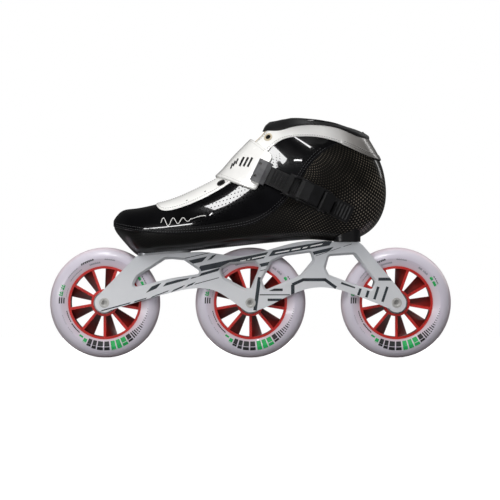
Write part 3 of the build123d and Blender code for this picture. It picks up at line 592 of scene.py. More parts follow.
lows = STATIONS[:, 0:2]
highs = STATIONS[:, 2:4]
steps = 0.5 * (
    np.linalg.norm(np.diff(lows, axis=0), axis=1) + np.linalg.norm(np.diff(highs, axis=0), axis=1)
)
steps = np.maximum(steps, np.abs(np.diff(STATIONS[:, 5])) * 0.8)
KNOTS = np.concatenate([[0], np.cumsum(steps)])
stations = Curve(KNOTS, STATIONS)
BOOT_LENGTH = KNOTS[-1]


def boot_points(t, turn):
    """Points of the boot's outer surface; turn runs from the sole round the outer side."""
    row = stations(t)
    ax, az, bx, bz, centre, half, widest, sole, crown = row.T
    turn = np.atleast_1d(turn)
    down = np.cos(turn)
    side = np.where(turn <= pi, -1.0, 1.0)
    power = 2 / np.where(down > 0, sole, crown)
    out = np.abs(np.sin(turn)) ** power
    lift = np.abs(down) ** power
    along = np.where(down > 0, widest * (1 - lift), widest + (1 - widest) * lift)
    return np.stack([ax + (bx - ax) * along, centre + side * half * out, az + (bz - az) * along], axis=-1)


def boot_normals(t, turn):
    """Outward normals by small differences."""
    t = np.atleast_1d(np.asarray(t, float))
    turn = np.atleast_1d(np.asarray(turn, float))
    t0, t1 = np.clip(t - 0.6, 0, BOOT_LENGTH), np.clip(t + 0.6, 0, BOOT_LENGTH)
    d_t = boot_points(t1, turn) - boot_points(t0, turn)
    d_turn = boot_points(t, turn + 0.012) - boot_points(t, turn - 0.012)
    normal = np.cross(d_t, d_turn)
    size = np.linalg.norm(normal, axis=-1, keepdims=True)
    return normal / np.maximum(size, 1e-9)


TABLE_T = np.linspace(0, BOOT_LENGTH, 2400)
TABLE = stations(TABLE_T)


def locate(x, z, side):
    """Surface coordinates of a side-view point on the outer (-1) or inner (+1) side."""
    ax, az, bx, bz = TABLE[:, 0], TABLE[:, 1], TABLE[:, 2], TABLE[:, 3]
    cross = (bx - ax) * (z - az) - (bz - az) * (x - ax)
    change = np.nonzero(np.sign(cross[:-1]) != np.sign(cross[1:]))[0]
    if len(change) == 0:
        i = int(np.argmin(np.abs(cross)))
        t = TABLE_T[i]
    else:
        i = int(change[0])
        part = cross[i] / (cross[i] - cross[i + 1])
        t = TABLE_T[i] + part * (TABLE_T[i + 1] - TABLE_T[i])
    row = stations(t)[0]
    ax, az, bx, bz, _, _, widest, sole, crown = row
    length = hypot(bx - ax, bz - az)
    along = ((x - ax) * (bx - ax) + (z - az) * (bz - az)) / length**2
    along = min(max(along, 0.0), 1.0)
    if along < widest:
        turn = np.arccos((1 - along / widest) ** (sole / 2))
    else:
        turn = np.arccos(-(((along - widest) / (1 - widest)) ** (crown / 2)))
    return t, (turn if side < 0 else 2 * pi - turn)


def on_boot(x, z, side, off=0.0):
    """A point on or above the boot surface, with its normal."""
    t, turn = locate(x, z, side)
    normal = boot_normals(t, turn)[0]
    return boot_points(t, turn)[0] + normal * off, normal


class Side:
    """A smooth side-view line given as height over length."""

    def __init__(self, points):
        points = np.asarray(points, float)
        chord = np.concatenate([[0], np.cumsum(np.linalg.norm(np.diff(points, axis=0), axis=1))])
        self.fine = Curve(chord, points)(np.linspace(0, chord[-1], 600))
        self.x, self.z = self.fine.T
        order = np.argsort(self.x)
        self.x, self.z = self.x[order], self.z[order]
        self.slope = np.gradient(self.z, self.x)

    def above(self, points):
        """Distance above the line, about square to it."""
        z = np.interp(points[:, 0], self.x, self.z)
        slope = np.interp(points[:, 0], self.x, self.slope)
        return (points[:, 2] - z) / np.sqrt(1 + slope**2)


SEAM = Side(
    [
        (-142, 131.5),
        (-120.5, 126.7),
        (-98, 124),
        (-75.5, 123),
        (-45.5, 124.5),
        (-15.5, 128.5),
        (4.5, 133.5),
        (19.5, 142),
        (42.5, 165.5),
        (56.5, 188),
        (72.5, 204.5),
        (90, 214),
        (150, 232),
    ]
)
BAND_LOW = Side(
    [
        (-97.5, 172),
        (-93.2, 151),
        (-89, 147.2),
        (-75.5, 147.2),
        (-55.5, 154),
        (-25.5, 170),
        (-0.5, 188.5),
        (17.5, 205.5),
        (30, 215.8),
        (49.5, 219.5),
        (69.5, 218.2),
        (86.5, 213.5),
        (101.5, 207),
        (117.5, 200),
        (150, 194),
    ]
)
BAND_HIGH = Side(
    [
        (-40, 236),
        (-4, 229),
        (12, 226.8),
        (30.5, 226.8),
        (39.5, 229.5),
        (54.5, 231.8),
        (69.5, 231.3),
        (89.5, 227),
        (107.5, 219.5),
        (118.5, 217.8),
        (150, 216),
    ]
)
COLLAR = Side(
    [
        (-10, 234),
        (8, 235.2),
        (17.5, 236.2),
        (30, 238.3),
        (54.5, 239.2),
        (84.5, 236.3),
        (104, 230.8),
        (116, 225),
        (130, 214),
    ]
)


class Sheet:
    """A polygon sheet lying on the boot surface, which can be cut along lines."""

    def __init__(self, points, normals, uvs, faces):
        self.points, self.normals, self.uvs = points, normals, uvs
        self.faces = faces

    def cut(self, values, keep_low=False):
        """Split the faces where the values cross zero; drop the negative side."""
        sign = values > 0
        points, normals, uvs = [], [], []
        crossing = {}
        count = len(self.points)
        faces = []

        def between(i, j):
            key = (i, j) if i < j else (j, i)
            if key not in crossing:
                a, b = key
                part = values[a] / (values[a] - values[b])
                crossing[key] = count + len(points)
                points.append(self.points[a] + part * (self.points[b] - self.points[a]))
                normals.append(self.normals[a] + part * (self.normals[b] - self.normals[a]))
                uvs.append(self.uvs[a] + part * (self.uvs[b] - self.uvs[a]))
            return crossing[key]

        for face in self.faces:
            inside = [sign[i] for i in face]
            if all(inside):
                faces.append(face)
                continue
            if not any(inside):
                if keep_low:
                    faces.append(face)
                continue
            high, low = [], []
            for k, i in enumerate(face):
                j = face[(k + 1) % len(face)]
                (high if sign[i] else low).append(i)
                if sign[i] != sign[j]:
                    middle = between(i, j)
                    high.append(middle)
                    low.append(middle)
            if len(high) > 2:
                faces.append(tuple(high))
            if keep_low and len(low) > 2:
                faces.append(tuple(low))
        if points:
            self.points = np.vstack([self.points, points])
            self.normals = np.vstack([self.normals, normals])
            self.uvs = np.vstack([self.uvs, uvs])
        self.faces = faces
        self.tidy()

    def tidy(self):
        """Forget the points no face uses."""
        used = np.zeros(len(self.points), bool)
        for face in self.faces:
            used[list(face)] = True
        index = np.cumsum(used) - 1
        self.points, self.normals, self.uvs = self.points[used], self.normals[used], self.uvs[used]
        self.faces = [tuple(int(index[i]) for i in face) for face in self.faces]

    def rolled_edge(self, distance, thickness, base=0.0, radius=1.0):
        """Heights above the surface, rounding down to the base at the sheet's edges."""
        part = np.clip(distance(self.points) / radius, 0, 1)
        return base + thickness * np.sqrt(1 - (1 - part) ** 2)

    def panel(self, distance, thickness, base=0.0, radius=1.0):
        """Trim to the positive distance and return points lifted into a rolled-edge panel."""
        self.cut(distance(self.points))
        for part in (0.12, 0.4, 1.0):
            self.cut(distance(self.points) - part * radius, keep_low=True)
        height = self.rolled_edge(distance, thickness, 0.0, radius)
        height = height + (base(self.points) if callable(base) else base)
        return self.points + self.normals * height[:, None]


LONG_CELLS = 330
ROUND_CELLS = 220


def boot_sheet(t_range=(0.0, 1.0), turns=(0.0, 2 * pi), density=1.0):
    """A fresh sheet of the whole boot surface or of a stretch of it."""
    rows = int(LONG_CELLS * density * (t_range[1] - t_range[0])) + 1
    columns = int(ROUND_CELLS * density * (turns[1] - turns[0]) / (2 * pi)) + 1
    t = np.linspace(t_range[0] * BOOT_LENGTH, t_range[1] * BOOT_LENGTH, rows)
    turn = np.linspace(turns[0], turns[1], columns)
    grid_t, grid_turn = (g.ravel() for g in np.meshgrid(t, turn, indexing="ij"))
    points = boot_points(grid_t, grid_turn)
    normals = boot_normals(grid_t, grid_turn)
    field = points.reshape(rows, columns, 3)
    around = np.concatenate(
        [np.zeros((rows, 1)), np.cumsum(np.linalg.norm(np.diff(field, axis=1), axis=2), axis=1)], axis=1
    )
    along = np.repeat(t[:, None], columns, axis=1)
    uvs = np.stack([along.ravel(), around.ravel()], axis=-1)
    faces = []
    for i in range(rows - 1):
        for j in range(columns - 1):
            a = i * columns + j
            faces.append((a, a + 1, a + columns + 1, a + columns))
    return Sheet(points, normals, uvs, faces)


MIDDLE_X = STATIONS[:, 2]
MIDDLE_Y = STATIONS[:, 4]


def crest_y(x):
    """How far the instep line lies off the middle plane."""
    return np.interp(x, MIDDLE_X[3:17], MIDDLE_Y[3:17])


def slot_distance(points, grow=0.0):
    """Distance outside the lacing slot, seen from above."""
    x, y = points[:, 0], points[:, 1] - crest_y(points[:, 0])
    half = np.interp(x, (-84, 20), (7.0, 12.0)) + grow
    ahead = np.hypot(np.minimum(x + 84, 0), y) - half
    distance = np.where(x < -84, ahead, np.abs(y) - half)
    elsewhere = (points[:, 2] < 140) | (x > 45)
    return np.where(elsewhere, 99.0, distance)


def trace(sheet, values):
    """Lines where the values cross zero, as lists of points and normals."""
    links, spots = {}, {}
    sign = values > 0
    for face in sheet.faces:
        ends = []
        for k, i in enumerate(face):
            j = face[(k + 1) % len(face)]
            if sign[i] != sign[j]:
                key = (i, j) if i < j else (j, i)
                if key not in spots:
                    a, b = key
                    part = values[a] / (values[a] - values[b])
                    normal = sheet.normals[a] + part * (sheet.normals[b] - sheet.normals[a])
                    spots[key] = (sheet.points[a] + part * (sheet.points[b] - sheet.points[a]), normal)
                ends.append(key)
        if len(ends) == 2:
            links.setdefault(ends[0], []).append(ends[1])
            links.setdefault(ends[1], []).append(ends[0])
    lines, seen = [], set()
    starts = [k for k in links if len(links[k]) == 1] + list(links)
    for start in starts:
        if start in seen:
            continue
        line, spot = [], start
        while spot is not None:
            seen.add(spot)
            line.append(spots[spot])
            spot = next((n for n in links[spot] if n not in seen), None)
        if len(line) > 3:
            lines.append((np.array([p for p, _ in line]), np.array([n for _, n in line])))
    return lines


def resample(points, normals, pitch):
    """Evenly spaced points with normals along a traced line."""
    chord = np.concatenate([[0], np.cumsum(np.linalg.norm(np.diff(points, axis=0), axis=1))])
    places = np.arange(pitch / 2, chord[-1], pitch)
    spots = np.stack([np.interp(places, chord, points[:, k]) for k in range(3)], axis=-1)
    ways = np.stack([np.interp(places, chord, normals[:, k]) for k in range(3)], axis=-1)
    return spots, ways / np.linalg.norm(ways, axis=1, keepdims=True)


def sew(batch, lines, keep, lift, pitch=2.7, length=1.9, width=0.55):
    """Stitches along the traced lines where keep(point) is true."""
    for points, normals in lines:
        spots, ways = resample(points, normals, pitch)
        for i in range(len(spots) - 1):
            if not keep(spots[i]) or not keep(spots[i + 1]):
                continue
            step = spots[i + 1] - spots[i]
            size = np.linalg.norm(step)
            if size < 0.3 * pitch or size > 1.5 * pitch:
                continue
            start = spots[i] + ways[i] * (lift(spots[i][None])[0] if callable(lift) else lift)
            batch.add(*capsule(start, start + step / size * length, width, 0.32, ways[i]))


def pipe(batch, lines, keep, lift, radius, pitch=1.5):
    """A thin cord along the traced lines where keep(point) is true."""
    for points, normals in lines:
        spots, ways = resample(points, normals, pitch)
        run = []
        for spot, way in list(zip(spots, ways)) + [(None, None)]:
            if spot is not None and keep(spot):
                run.append(spot + way * (lift(spot[None])[0] if callable(lift) else lift))
                continue
            if len(run) > 3:
                batch.add(*tube_along(run, radius, 6))
            run = []


def soft_min(*distances, blend=1.5):
    """The smallest distance, rounding the corners where two meet."""
    stack = np.stack(distances)
    low = stack.min(axis=0)
    return low - blend * np.log(np.exp(-(stack - low) / blend).sum(axis=0))


# ---------------------------------------------------------------- boot pieces
BOOT = boot_sheet()


def fresh(sheet):
    return Sheet(sheet.points.copy(), sheet.normals.copy(), sheet.uvs.copy(), list(sheet.faces))


def carbon_distance(points):
    return np.minimum(2.5 - SEAM.above(points), -1.0 - BAND_HIGH.above(points))


def upper_distance(points):
    return soft_min(
        SEAM.above(points), slot_distance(points, 1.0), 4.0 - BAND_HIGH.above(points), blend=0.6
    )


def band_distance(points):
    return soft_min(
        BAND_LOW.above(points), slot_distance(points), 1.6 - BAND_HIGH.above(points), blend=0.8
    )


shell_sheet = fresh(BOOT)
shell_sheet.cut(carbon_distance(shell_sheet.points))
carbon_shell = make_piece(
    "carbon_shell_skin",
    shell_sheet.points - shell_sheet.normals * 0.5,
    shell_sheet.faces,
    "carbon",
    "boot",
    "carbon",
    uvs=shell_sheet.uvs,
)
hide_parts("carbon_shell")

def boot_panel(name, distance, thickness, base, radius, material, slot):
    """A rolled-edge panel cut from the boot surface."""
    sheet = fresh(BOOT)
    points = sheet.panel(distance, thickness, base, radius)
    return make_piece(name, points, sheet.faces, material, "boot", slot, uvs=sheet.uvs)


upper = boot_panel("upper_skin", upper_distance, 1.0, -0.7, 1.2, "upper", "patent_black")
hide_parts("upper")
band = boot_panel("collar_band_skin", band_distance, 1.0, 0.1, 1.0, "band", "collar_band")
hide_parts("collar_band")


def strip_distance(points):
    """Folded strip along the heel end of the band's lower edge."""
    above = BAND_LOW.above(points)
    return soft_min(above + 0.4, 4.2 - above, points[:, 0] - 89.0, blend=0.5)


boot_panel("heel_strip", strip_distance, 0.6, 1.0, 0.6, "band", "collar_band")


# tongue: a padded strip under the eyestays, its crown standing a little proud
def tongue_distance(points):
    return soft_min(-slot_distance(points, 8.0), -6.0 - COLLAR.above(points), blend=1.0)


tongue_sheet = fresh(BOOT)
tongue_sheet.cut(np.where(tongue_sheet.points[:, 2] < 142, -1.0, tongue_distance(tongue_sheet.points)))
for level in (1.0, 3.0, 6.0):
    tongue_sheet.cut(tongue_distance(tongue_sheet.points) - level, keep_low=True)
tongue_rise = np.clip(tongue_distance(tongue_sheet.points) / 13.0, 0, 1)
tongue_crown = np.interp(tongue_sheet.points[:, 0], (-60, -20, 5), (4.4, 3.6, 1.6))
tongue = make_piece(
    "tongue_cover",
    tongue_sheet.points
    + tongue_sheet.normals * (-3.6 + tongue_crown * np.sqrt(1 - (1 - tongue_rise) ** 2))[:, None],
    tongue_sheet.faces,
    "tongue",
    "boot",
    "tongue",
    uvs=tongue_sheet.uvs,
)
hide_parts("tongue")

# padded collar: outer roll, rounded top, inner face
def station_at(turn, line, level, low=0.55):
    """The station where a turn's line along the boot comes up to the level."""
    t = np.linspace(low * BOOT_LENGTH, BOOT_LENGTH, 260)
    points = boot_points(t, np.full(len(t), turn))
    above = line.above(points) - level
    change = np.nonzero((above[:-1] < 0) & (above[1:] >= 0))[0]
    if len(change) == 0:
        return t[-1] if above[-1] < 0 else t[0]
    i = int(change[-1])
    return t[i] + (t[i + 1] - t[i]) * above[i] / (above[i] - above[i + 1])


def ring_turns(open_half, count):
    """Turns from the tongue's outer edge round the heel to its inner edge."""
    first = np.linspace(pi - open_half, 0.0, count)
    return np.concatenate([first, 2 * pi - first[::-1][1:]])


def collar_roll():
    turns = ring_turns(0.16, 96)
    rows = []
    for index, turn in enumerate(turns):
        t_band = station_at(turn, BAND_HIGH, -1.0)
        front = max(0.0, 1 - abs(turn - pi) / 0.75)
        heel = max(0.0, 1 - min(turn, 2 * pi - turn) / 0.9)
        t_top = station_at(turn, COLLAR, -6.4 + 3.8 * front + 3.4 * heel)
        ends = min(index, len(turns) - 1 - index) / 4.0
        full = sqrt_ease(min(ends, 1.0))
        profile = []
        for part in np.linspace(0, 1, 9):
            t = t_band + (t_top - t_band) * part
            bulge = (0.9 + 0.6 * part + 1.2 * sin(pi * part)) * full
            profile.append(lifted(t, turn, bulge))
        top = lifted(t_top, turn, 1.5 * full)
        t_up = min(t_top + 4.0, BOOT_LENGTH)
        outward = boot_normals(t_top, turn)[0]
        upward = boot_points(t_up, turn)[0] - boot_points(t_up - 3.0, turn)[0]
        upward -= outward * np.dot(outward, upward)
        upward /= np.linalg.norm(upward)
        centre = top - outward * 5.2 * full
        for angle in np.linspace(0.25, 1.0, 7) * pi:
            if angle <= 0:
                continue
            profile.append(centre + 5.2 * full * cos(angle) * outward + 4.2 * full * sin(angle) * upward)
        inner = profile[-1]
        for drop, push in ((5.0, 0.4), (11.0, 0.9), (18.0, 0.4), (26.0, -2.0)):
            profile.append(inner - upward * drop - outward * push * full)
        rows.append(profile)
    return grid_mesh(rows)


def sqrt_ease(part):
    return float(np.sqrt(max(0.0, 1 - (1 - part) ** 2))) * 0.5 + 0.5


def lifted(t, turn, off):
    return boot_points(t, turn)[0] + boot_normals(t, turn)[0] * off


def grid_mesh(rows):
    """Points and faces of a grid given as rows of points."""
    count, wide = len(rows), len(rows[0])
    points = [p for row in rows for p in row]
    faces = []
    for i in range(count - 1):
        for j in range(wide - 1):
            a = i * wide + j
            faces.append((a, a + 1, a + wide + 1, a + wide))
    return points, faces


collar = make_piece("collar_padding_roll", *collar_roll(), "padding", "boot", "padding")

# lining and footbed inside the boot
LINING_FOOT = 122.0
lining_sheet = boot_sheet((0.12, 1.0), density=0.55)
lining_sheet.cut(-6.0 - COLLAR.above(lining_sheet.points))
lining_sheet.cut(slot_distance(lining_sheet.points, -1.0))
lining_sheet.cut(lining_sheet.points[:, 2] - LINING_FOOT)
lining = make_piece(
    "lining",
    lining_sheet.points - lining_sheet.normals * 4.6,
    [tuple(reversed(f)) for f in lining_sheet.faces],
    "lining",
    "boot",
    "padding",
)
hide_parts("collar_liner")


def footbed():
    inner = BOOT.points - BOOT.normals * 5.0
    rows = []
    for x in np.linspace(-122, 122, 84):
        low = np.interp(x, STATIONS[:15, 0], STATIONS[:15, 1])
        z = low + 8.5 + 4.0 * max(0.0, (x - 95) / 30) ** 2
        near = inner[(np.abs(inner[:, 0] - x) < 3.0) & (np.abs(inner[:, 2] - z) < 3.0)]
        if len(near) < 4:
            continue
        left, right = near[:, 1].min() + 0.3, near[:, 1].max() - 0.3
        row = []
        for part in np.linspace(-1, 1, 27):
            y = (left + right) / 2 + (right - left) / 2 * part
            row.append((x, y, z + 1.6 * abs(part) ** 4))
        rows.append(row)
    return grid_mesh(rows)


insole = make_piece("insole_cover", *footbed(), "footbed", "boot", "insole")
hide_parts("insole")

# instep strap
STRAP_LOW = Side(
    [
        (-60, 186),
        (-40, 181),
        (-34, 179),
        (-27, 176.8),
        (-21, 174.8),
        (-14.3, 172.3),
        (-6, 169.2),
        (0, 167.0),
        (4.5, 165.5),
        (14, 162),
    ]
)


def edge_line(start, end):
    """Distance to the left of the side-view line from start to end."""
    start, end = np.array(start, float), np.array(end, float)
    way = (end - start) / np.linalg.norm(end - start)
    square = np.array([-way[1], way[0]])

    def distance(points):
        return (points[:, [0, 2]] - start) @ square

    return distance


strap_back = edge_line((6.8, 168.5), (22.0, 198))
strap_top = edge_line((18.6, 203.5), (0.5, 218.5))


def strap_distance(points):
    high = np.where(points[:, 2] > 160, 50.0, -50.0)
    inside = soft_min(
        STRAP_LOW.above(points), strap_back(points), strap_top(points), blend=1.6
    )
    return np.minimum(inside, high)


strap_sheet = boot_sheet((0.28, 0.8), (0.32 * pi, 1.68 * pi), density=1.6)
strap_source = fresh(strap_sheet)


def strap_rise(height):
    """Height of something on the strap, which stands clear of the hollow of the instep."""

    def lift(points):
        crown = np.clip(1 - np.abs(points[:, 1]) / 34, 0, 1)
        span = np.exp(-(((points[:, 0] + 13) / 15) ** 2))
        return height + 3.4 * span * crown**0.7

    return lift


def strap_piece(obj):
    """Bake a piece of the strap's placement into its mesh."""
    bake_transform(obj)
    return obj


strap = make_piece(
    "instep_strap_skin",
    strap_sheet.panel(strap_distance, 2.0, strap_rise(0.8), 1.0),
    strap_sheet.faces,
    "white",
    None,
    "strap",
    uvs=strap_sheet.uvs,
)
strap_piece(strap)
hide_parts("instep_strap")

# ---------------------------------------------------------------- stitching and trims
def everywhere(point):
    return True


stitching = Batch()
seam_gap = SEAM.above(BOOT.points)
outside_slot = slot_distance(BOOT.points)
band_gap = BAND_LOW.above(BOOT.points)
for level in (2.2, 4.6):
    sew(stitching, trace(BOOT, seam_gap - level), lambda p: -134 < p[0] < 96 and p[2] < 209, 0.35)
stitching.piece("upper_stitching", "dark_thread", "boot")

band_stitching = Batch()
on_band = lambda p: band_distance(p[None])[0] > 1.0
sew(band_stitching, trace(BOOT, band_gap - 1.9), lambda p: on_band(p) and p[0] < 88, 1.15, 2.4, 1.7, 0.4)
sew(band_stitching, trace(BOOT, outside_slot - 2.0), on_band, 1.15, 2.4, 1.7, 0.4)
band_stitching.piece("band_stitching", "thread", "boot")

heel_stitching = Batch()
for level in (1.4, 3.2):
    sew(heel_stitching, trace(BOOT, band_gap - level), lambda p: p[0] > 90, 1.6, 2.2, 1.5, 0.4)
heel_stitching.piece("heel_stitching", "dark_thread", "boot")

tongue_edge = Batch()
pipe(tongue_edge, trace(BOOT, outside_slot + 1.2), lambda p: p[0] > -84 and p[2] < 228, 0.35, 0.5)
tongue_edge.piece("tongue_edge_binding", "beige", "boot")

strap_values = strap_distance(strap_source.points)
strap_edge = Batch()
pipe(strap_edge, trace(strap_source, strap_values - 0.35), everywhere, strap_rise(1.5), 0.3)
strap_piece(strap_edge.piece("strap_edge_binding", "dark_thread", None))
strap_seam = Batch()
sew(strap_seam, trace(strap_source, strap_values - 2.6), everywhere, strap_rise(2.72), 1.9, 1.5, 0.32)
strap_piece(strap_seam.piece("strap_stitching", "thread", None))


def ribbon(batch, path, width, side, off, closed=False):
    """A thin flat line on the boot or strap along side-view points."""
    path = [np.array(p, float) for p in path]
    count = len(path)
    left, right = [], []
    for i in range(count):
        before = path[i - 1] if (i or closed) else path[0]
        after = path[(i + 1) % count] if (i < count - 1 or closed) else path[-1]
        way = after - before
        way = way / max(np.linalg.norm(way), 1e-6)
        square = np.array([-way[1], way[0]]) * width / 2
        for row, spot in ((left, path[i] + square), (right, path[i] - square)):
            point, normal = on_boot(*spot, side)
            row.append(point + normal * (off(point[None])[0] if callable(off) else off))
    points = left + right
    faces = []
    for i in range(count if closed else count - 1):
        j = (i + 1) % count
        faces.append((i, j, count + j, count + i) if side < 0 else (i, count + i, count + j, j))
    batch.add(points, faces)


def straight_points(start, end, count=6):
    return [
        (start[0] + (end[0] - start[0]) * k / (count - 1), start[1] + (end[1] - start[1]) * k / (count - 1))
        for k in range(count)
    ]


strap_marks = Batch()
MARK = (-3.0, 192.6)
for side in (-1, 1):
    for shift in (-3.6, 0.0, 3.6):
        start = (MARK[0] + shift - 2.4, MARK[1] - 4.6)
        end = (MARK[0] + shift + 2.4, MARK[1] + 4.6)
        ribbon(strap_marks, straight_points(start, end), 1.7, side, strap_rise(2.95))
    for shift in (0.0, 2.7, 5.4):
        ribbon(
            strap_marks,
            straight_points((-17.4 + shift, 185.0 + shift * 0.9), (-14.6 + shift, 190.4 + shift * 0.9)),
            1.1,
            side,
            strap_rise(2.95),
        )
strap_piece(strap_marks.piece("strap_marks", "tyre_black", None))

flourish = Batch()
wave = [
    (-88 + 30 * k / 60, 134.2 + (1 - k / 90) * 4.6 * sin(3.1 * 2 * pi * k / 60) + 3.6 * k / 60)
    for k in range(61)
]
tail = [(-58 + 14 * k / 12, 137.8 + 3.4 * sin(pi * k / 24)) for k in range(13)]
for side in (-1, 1):
    ribbon(flourish, wave, 0.55, side, 0.45)
    ribbon(flourish, tail, 0.6, side, 0.45)
flourish.piece("toe_flourish", "white", "boot")

# eyelets: a rolled ring, its hole a black disc of painted shade
EYELETS = [(-28.6, 173.0), (-12.5, 189.5), (2.5, 204.5), (18.0, 219.0)]
PUNCHES = [(-62.5, 155.5), (-44.5, 164.5)]


def disc_frame(x, z, side, off):
    centre, normal = on_boot(x, z, side, off)
    helper = np.array([0, 0, 1.0])
    one = np.cross(normal, helper)
    one /= np.linalg.norm(one)
    return centre, normal, one, np.cross(normal, one)


def add_ring(batch, x, z, side, off, major, minor, height, around=40, tube=10):
    centre, normal, one, two = disc_frame(x, z, side, off)
    points = []
    for i in range(around):
        turn = 2 * pi * i / around
        way = cos(turn) * one + sin(turn) * two
        for j in range(tube):
            roll = 2 * pi * j / tube
            points.append(centre + way * (major + minor * cos(roll)) + normal * height * sin(roll))
    faces = []
    for i in range(around):
        for j in range(tube):
            k, n = (i + 1) % around, (j + 1) % tube
            faces.append((i * tube + j, k * tube + j, k * tube + n, i * tube + n))
    batch.add(points, faces)


def add_disc(batch, x, z, side, off, radius, around=28):
    centre, _, one, two = disc_frame(x, z, side, off)
    ring = [
        centre + radius * (cos(2 * pi * i / around) * one + sin(2 * pi * i / around) * two)
        for i in range(around)
    ]
    batch.add([centre] + ring, [(0, i + 1, (i + 1) % around + 1) for i in range(around)])


dark_rings, pale_rings, holes = Batch(), Batch(), Batch()
for x, z in EYELETS:
    for side in (-1, 1):
        rings = pale_rings if z > 210 else dark_rings
        add_ring(rings, x, z, side, 1.15, 3.5, 0.95, 0.75)
        add_disc(holes, x, z, side, 1.2, 2.7)
for x, z in PUNCHES:
    for side in (-1, 1):
        add_disc(holes, x, z, side, 1.14, 0.9)
eyelet_rings = dark_rings.piece("eyelet_rings", "gunmetal", "boot", "eyelet")
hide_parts("eyelets")
pale_rings.piece("top_eyelet_rings", "beige", "boot")
# painted shade: matte black discs stand for the dark depth inside the eyelet and punch holes
holes.piece("eyelet_hole_shade_discs", "hole", "boot")


# ---------------------------------------------------------------- printed marks
def anticlockwise(points):
    """Side-view corners of a mark as an anticlockwise loop."""
    points = [np.array(p, float) for p in points]
    area = sum(a[0] * b[1] - a[1] * b[0] for a, b in zip(points, points[1:] + points[:1]))
    return points if area > 0 else points[::-1]


def plate_source():
    """Outer faces of the two side plates, as a bmesh."""
    mesh = bmesh.new()
    mesh.from_mesh(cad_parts["frame"].data)
    bmesh.ops.remove_doubles(mesh, verts=mesh.verts, dist=1e-6)
    mesh.normal_update()
    away = [
        f
        for f in mesh.faces
        if abs(f.normal.y) < 0.999 or abs(abs(f.calc_center_median().y) - PLATE_FACE * MM) > 0.0004
    ]
    bmesh.ops.delete(mesh, geom=away, context="FACES")
    return mesh


PLATES = plate_source()


def print_mark(batch, corners, lift=0.05):
    """Copy the plate faces inside a convex side-view shape, just above the metal."""
    corners = anticlockwise(corners)
    mesh = PLATES.copy()
    for a, b in zip(corners, corners[1:] + corners[:1]):
        way = b - a
        if np.linalg.norm(way) < 1e-6:
            continue
        square = Vector((way[1], 0, -way[0]))
        geometry = mesh.verts[:] + mesh.edges[:] + mesh.faces[:]
        bmesh.ops.bisect_plane(
            mesh,
            geom=geometry,
            plane_co=(a[0] * MM, 0, a[1] * MM),
            plane_no=square,
            clear_outer=True,
            dist=1e-7,
        )
    index = {}
    points = []
    for v in mesh.verts:
        index[v] = len(points)
        y = v.co.y / MM
        points.append((v.co.x / MM, y + (lift if y > 0 else -lift), v.co.z / MM))
    batch.add(points, [tuple(index[v] for v in f.verts) for f in mesh.faces])
    mesh.free()


def bar(start, end, width):
    """Corners of a straight bar."""
    start, end = np.array(start, float), np.array(end, float)
    way = (end - start) / np.linalg.norm(end - start)
    square = np.array([-way[1], way[0]]) * width / 2
    return [start + square, end + square, end - square, start - square]


def slanted(start, end, width, lean):
    """A bar whose ends lean: the upper corners are shifted along X."""
    start, end = np.array(start, float), np.array(end, float)
    up = np.array([lean, width / 2])
    return [start + up, end + up, end - up, start - up]


# plain stripes on the plates: start and end along X and Z, width, lean of the ends (mm)
BEAM_BARS = [
    ((-70.5, 98), (-35.5, 106), 0.9, 0.5),
    ((-65.5, 94), (-45.5, 98.5), 5.4, 2.6),
    ((-40.5, 99.5), (-36, 101), 5.0, 2.6),
    ((-34.5, 106), (-0.5, 111.5), 3.6, 2.0),
    ((-52, 88.5), (15.5, 102.5), 6.4, 2.2),
    ((20, 104), (80.5, 115), 6.0, 2.2),
    ((2.5, 111.5), (35.5, 116), 2.6, 2.0),
    ((38.5, 116.5), (67.5, 119.5), 2.4, 2.0),
    ((6.5, 91.5), (45.5, 100), 4.4, 2.2),
    ((48.5, 101), (80.5, 108.5), 4.4, 2.2),
    ((6.5, 86), (18.5, 89), 0.9, 0.5),
    ((64.5, 101.5), (76.5, 105.5), 0.9, 0.5),
    ((79.5, 106.5), (89.5, 110), 0.9, 0.5),
    ((92.5, 111), (100.5, 113.5), 0.9, 0.5),
    ((-101, 68), (-90.5, 72.5), 6.4, 3.0),
    ((-85.5, 73), (-60.5, 80), 3.8, 1.8),
    ((-58, 80.5), (-30.5, 88.5), 3.8, 1.8),
    ((-98.5, 60.5), (-81.5, 67), 1.6, 0.8),
    ((-78, 66.5), (-66.5, 71.5), 3.0, 1.6),
    ((-63.5, 71.5), (-56, 74.5), 3.0, 1.6),
    ((-55.5, 73.5), (-31.5, 80), 1.0, 0.4),
    ((-148.5, 47), (-119.5, 55), 1.5, 0.6),
    ((-115.5, 56), (-103.5, 59.5), 1.5, 0.6),
]
PALE_BARS = [
    ((-10.5, 96.5), (-4.5, 97.5), 1.2, 0.5),
    ((-3, 98), (-0.5, 98.5), 1.2, 0.5),
    ((1.5, 99), (15, 102), 1.4, 0.6),
    ((24.5, 104.5), (38.5, 107), 1.3, 0.6),
    ((41, 107.5), (49.5, 109), 1.3, 0.6),
    ((52, 109.5), (56.5, 110.5), 1.3, 0.6),
    ((59.5, 111), (71.5, 113.5), 1.3, 0.6),
]
PLATE_BARS = [
    ((4.5, 47.5), (9, 80.5), 3.5),
    ((9, 63), (39, 63), 1),
    ((17, 68), (32, 68), 2.5),
    ((17, 58), (31, 58), 2.5),
    ((42, 61), (42, 73), 3.5),
    ((41.5, 73), (52.5, 78), 3),
    ((51.5, 78), (75, 78), 3),
    ((74, 78), (85, 70), 3),
    ((90, 75), (104, 70.5), 2.5),
    ((107, 62.5), (110, 71), 2.5),
    ((115, 60.5), (118.5, 71), 2.5),
    ((123, 58.5), (127, 71), 2.5),
    ((131, 56), (136, 71), 2.5),
    ((127, 78.5), (144, 78.5), 3),
]
plate_print = Batch()
for start, end, width, lean in BEAM_BARS:
    print_mark(plate_print, slanted(start, end, width, lean))
for start, end, width in PLATE_BARS:
    print_mark(plate_print, bar(start, end, width))
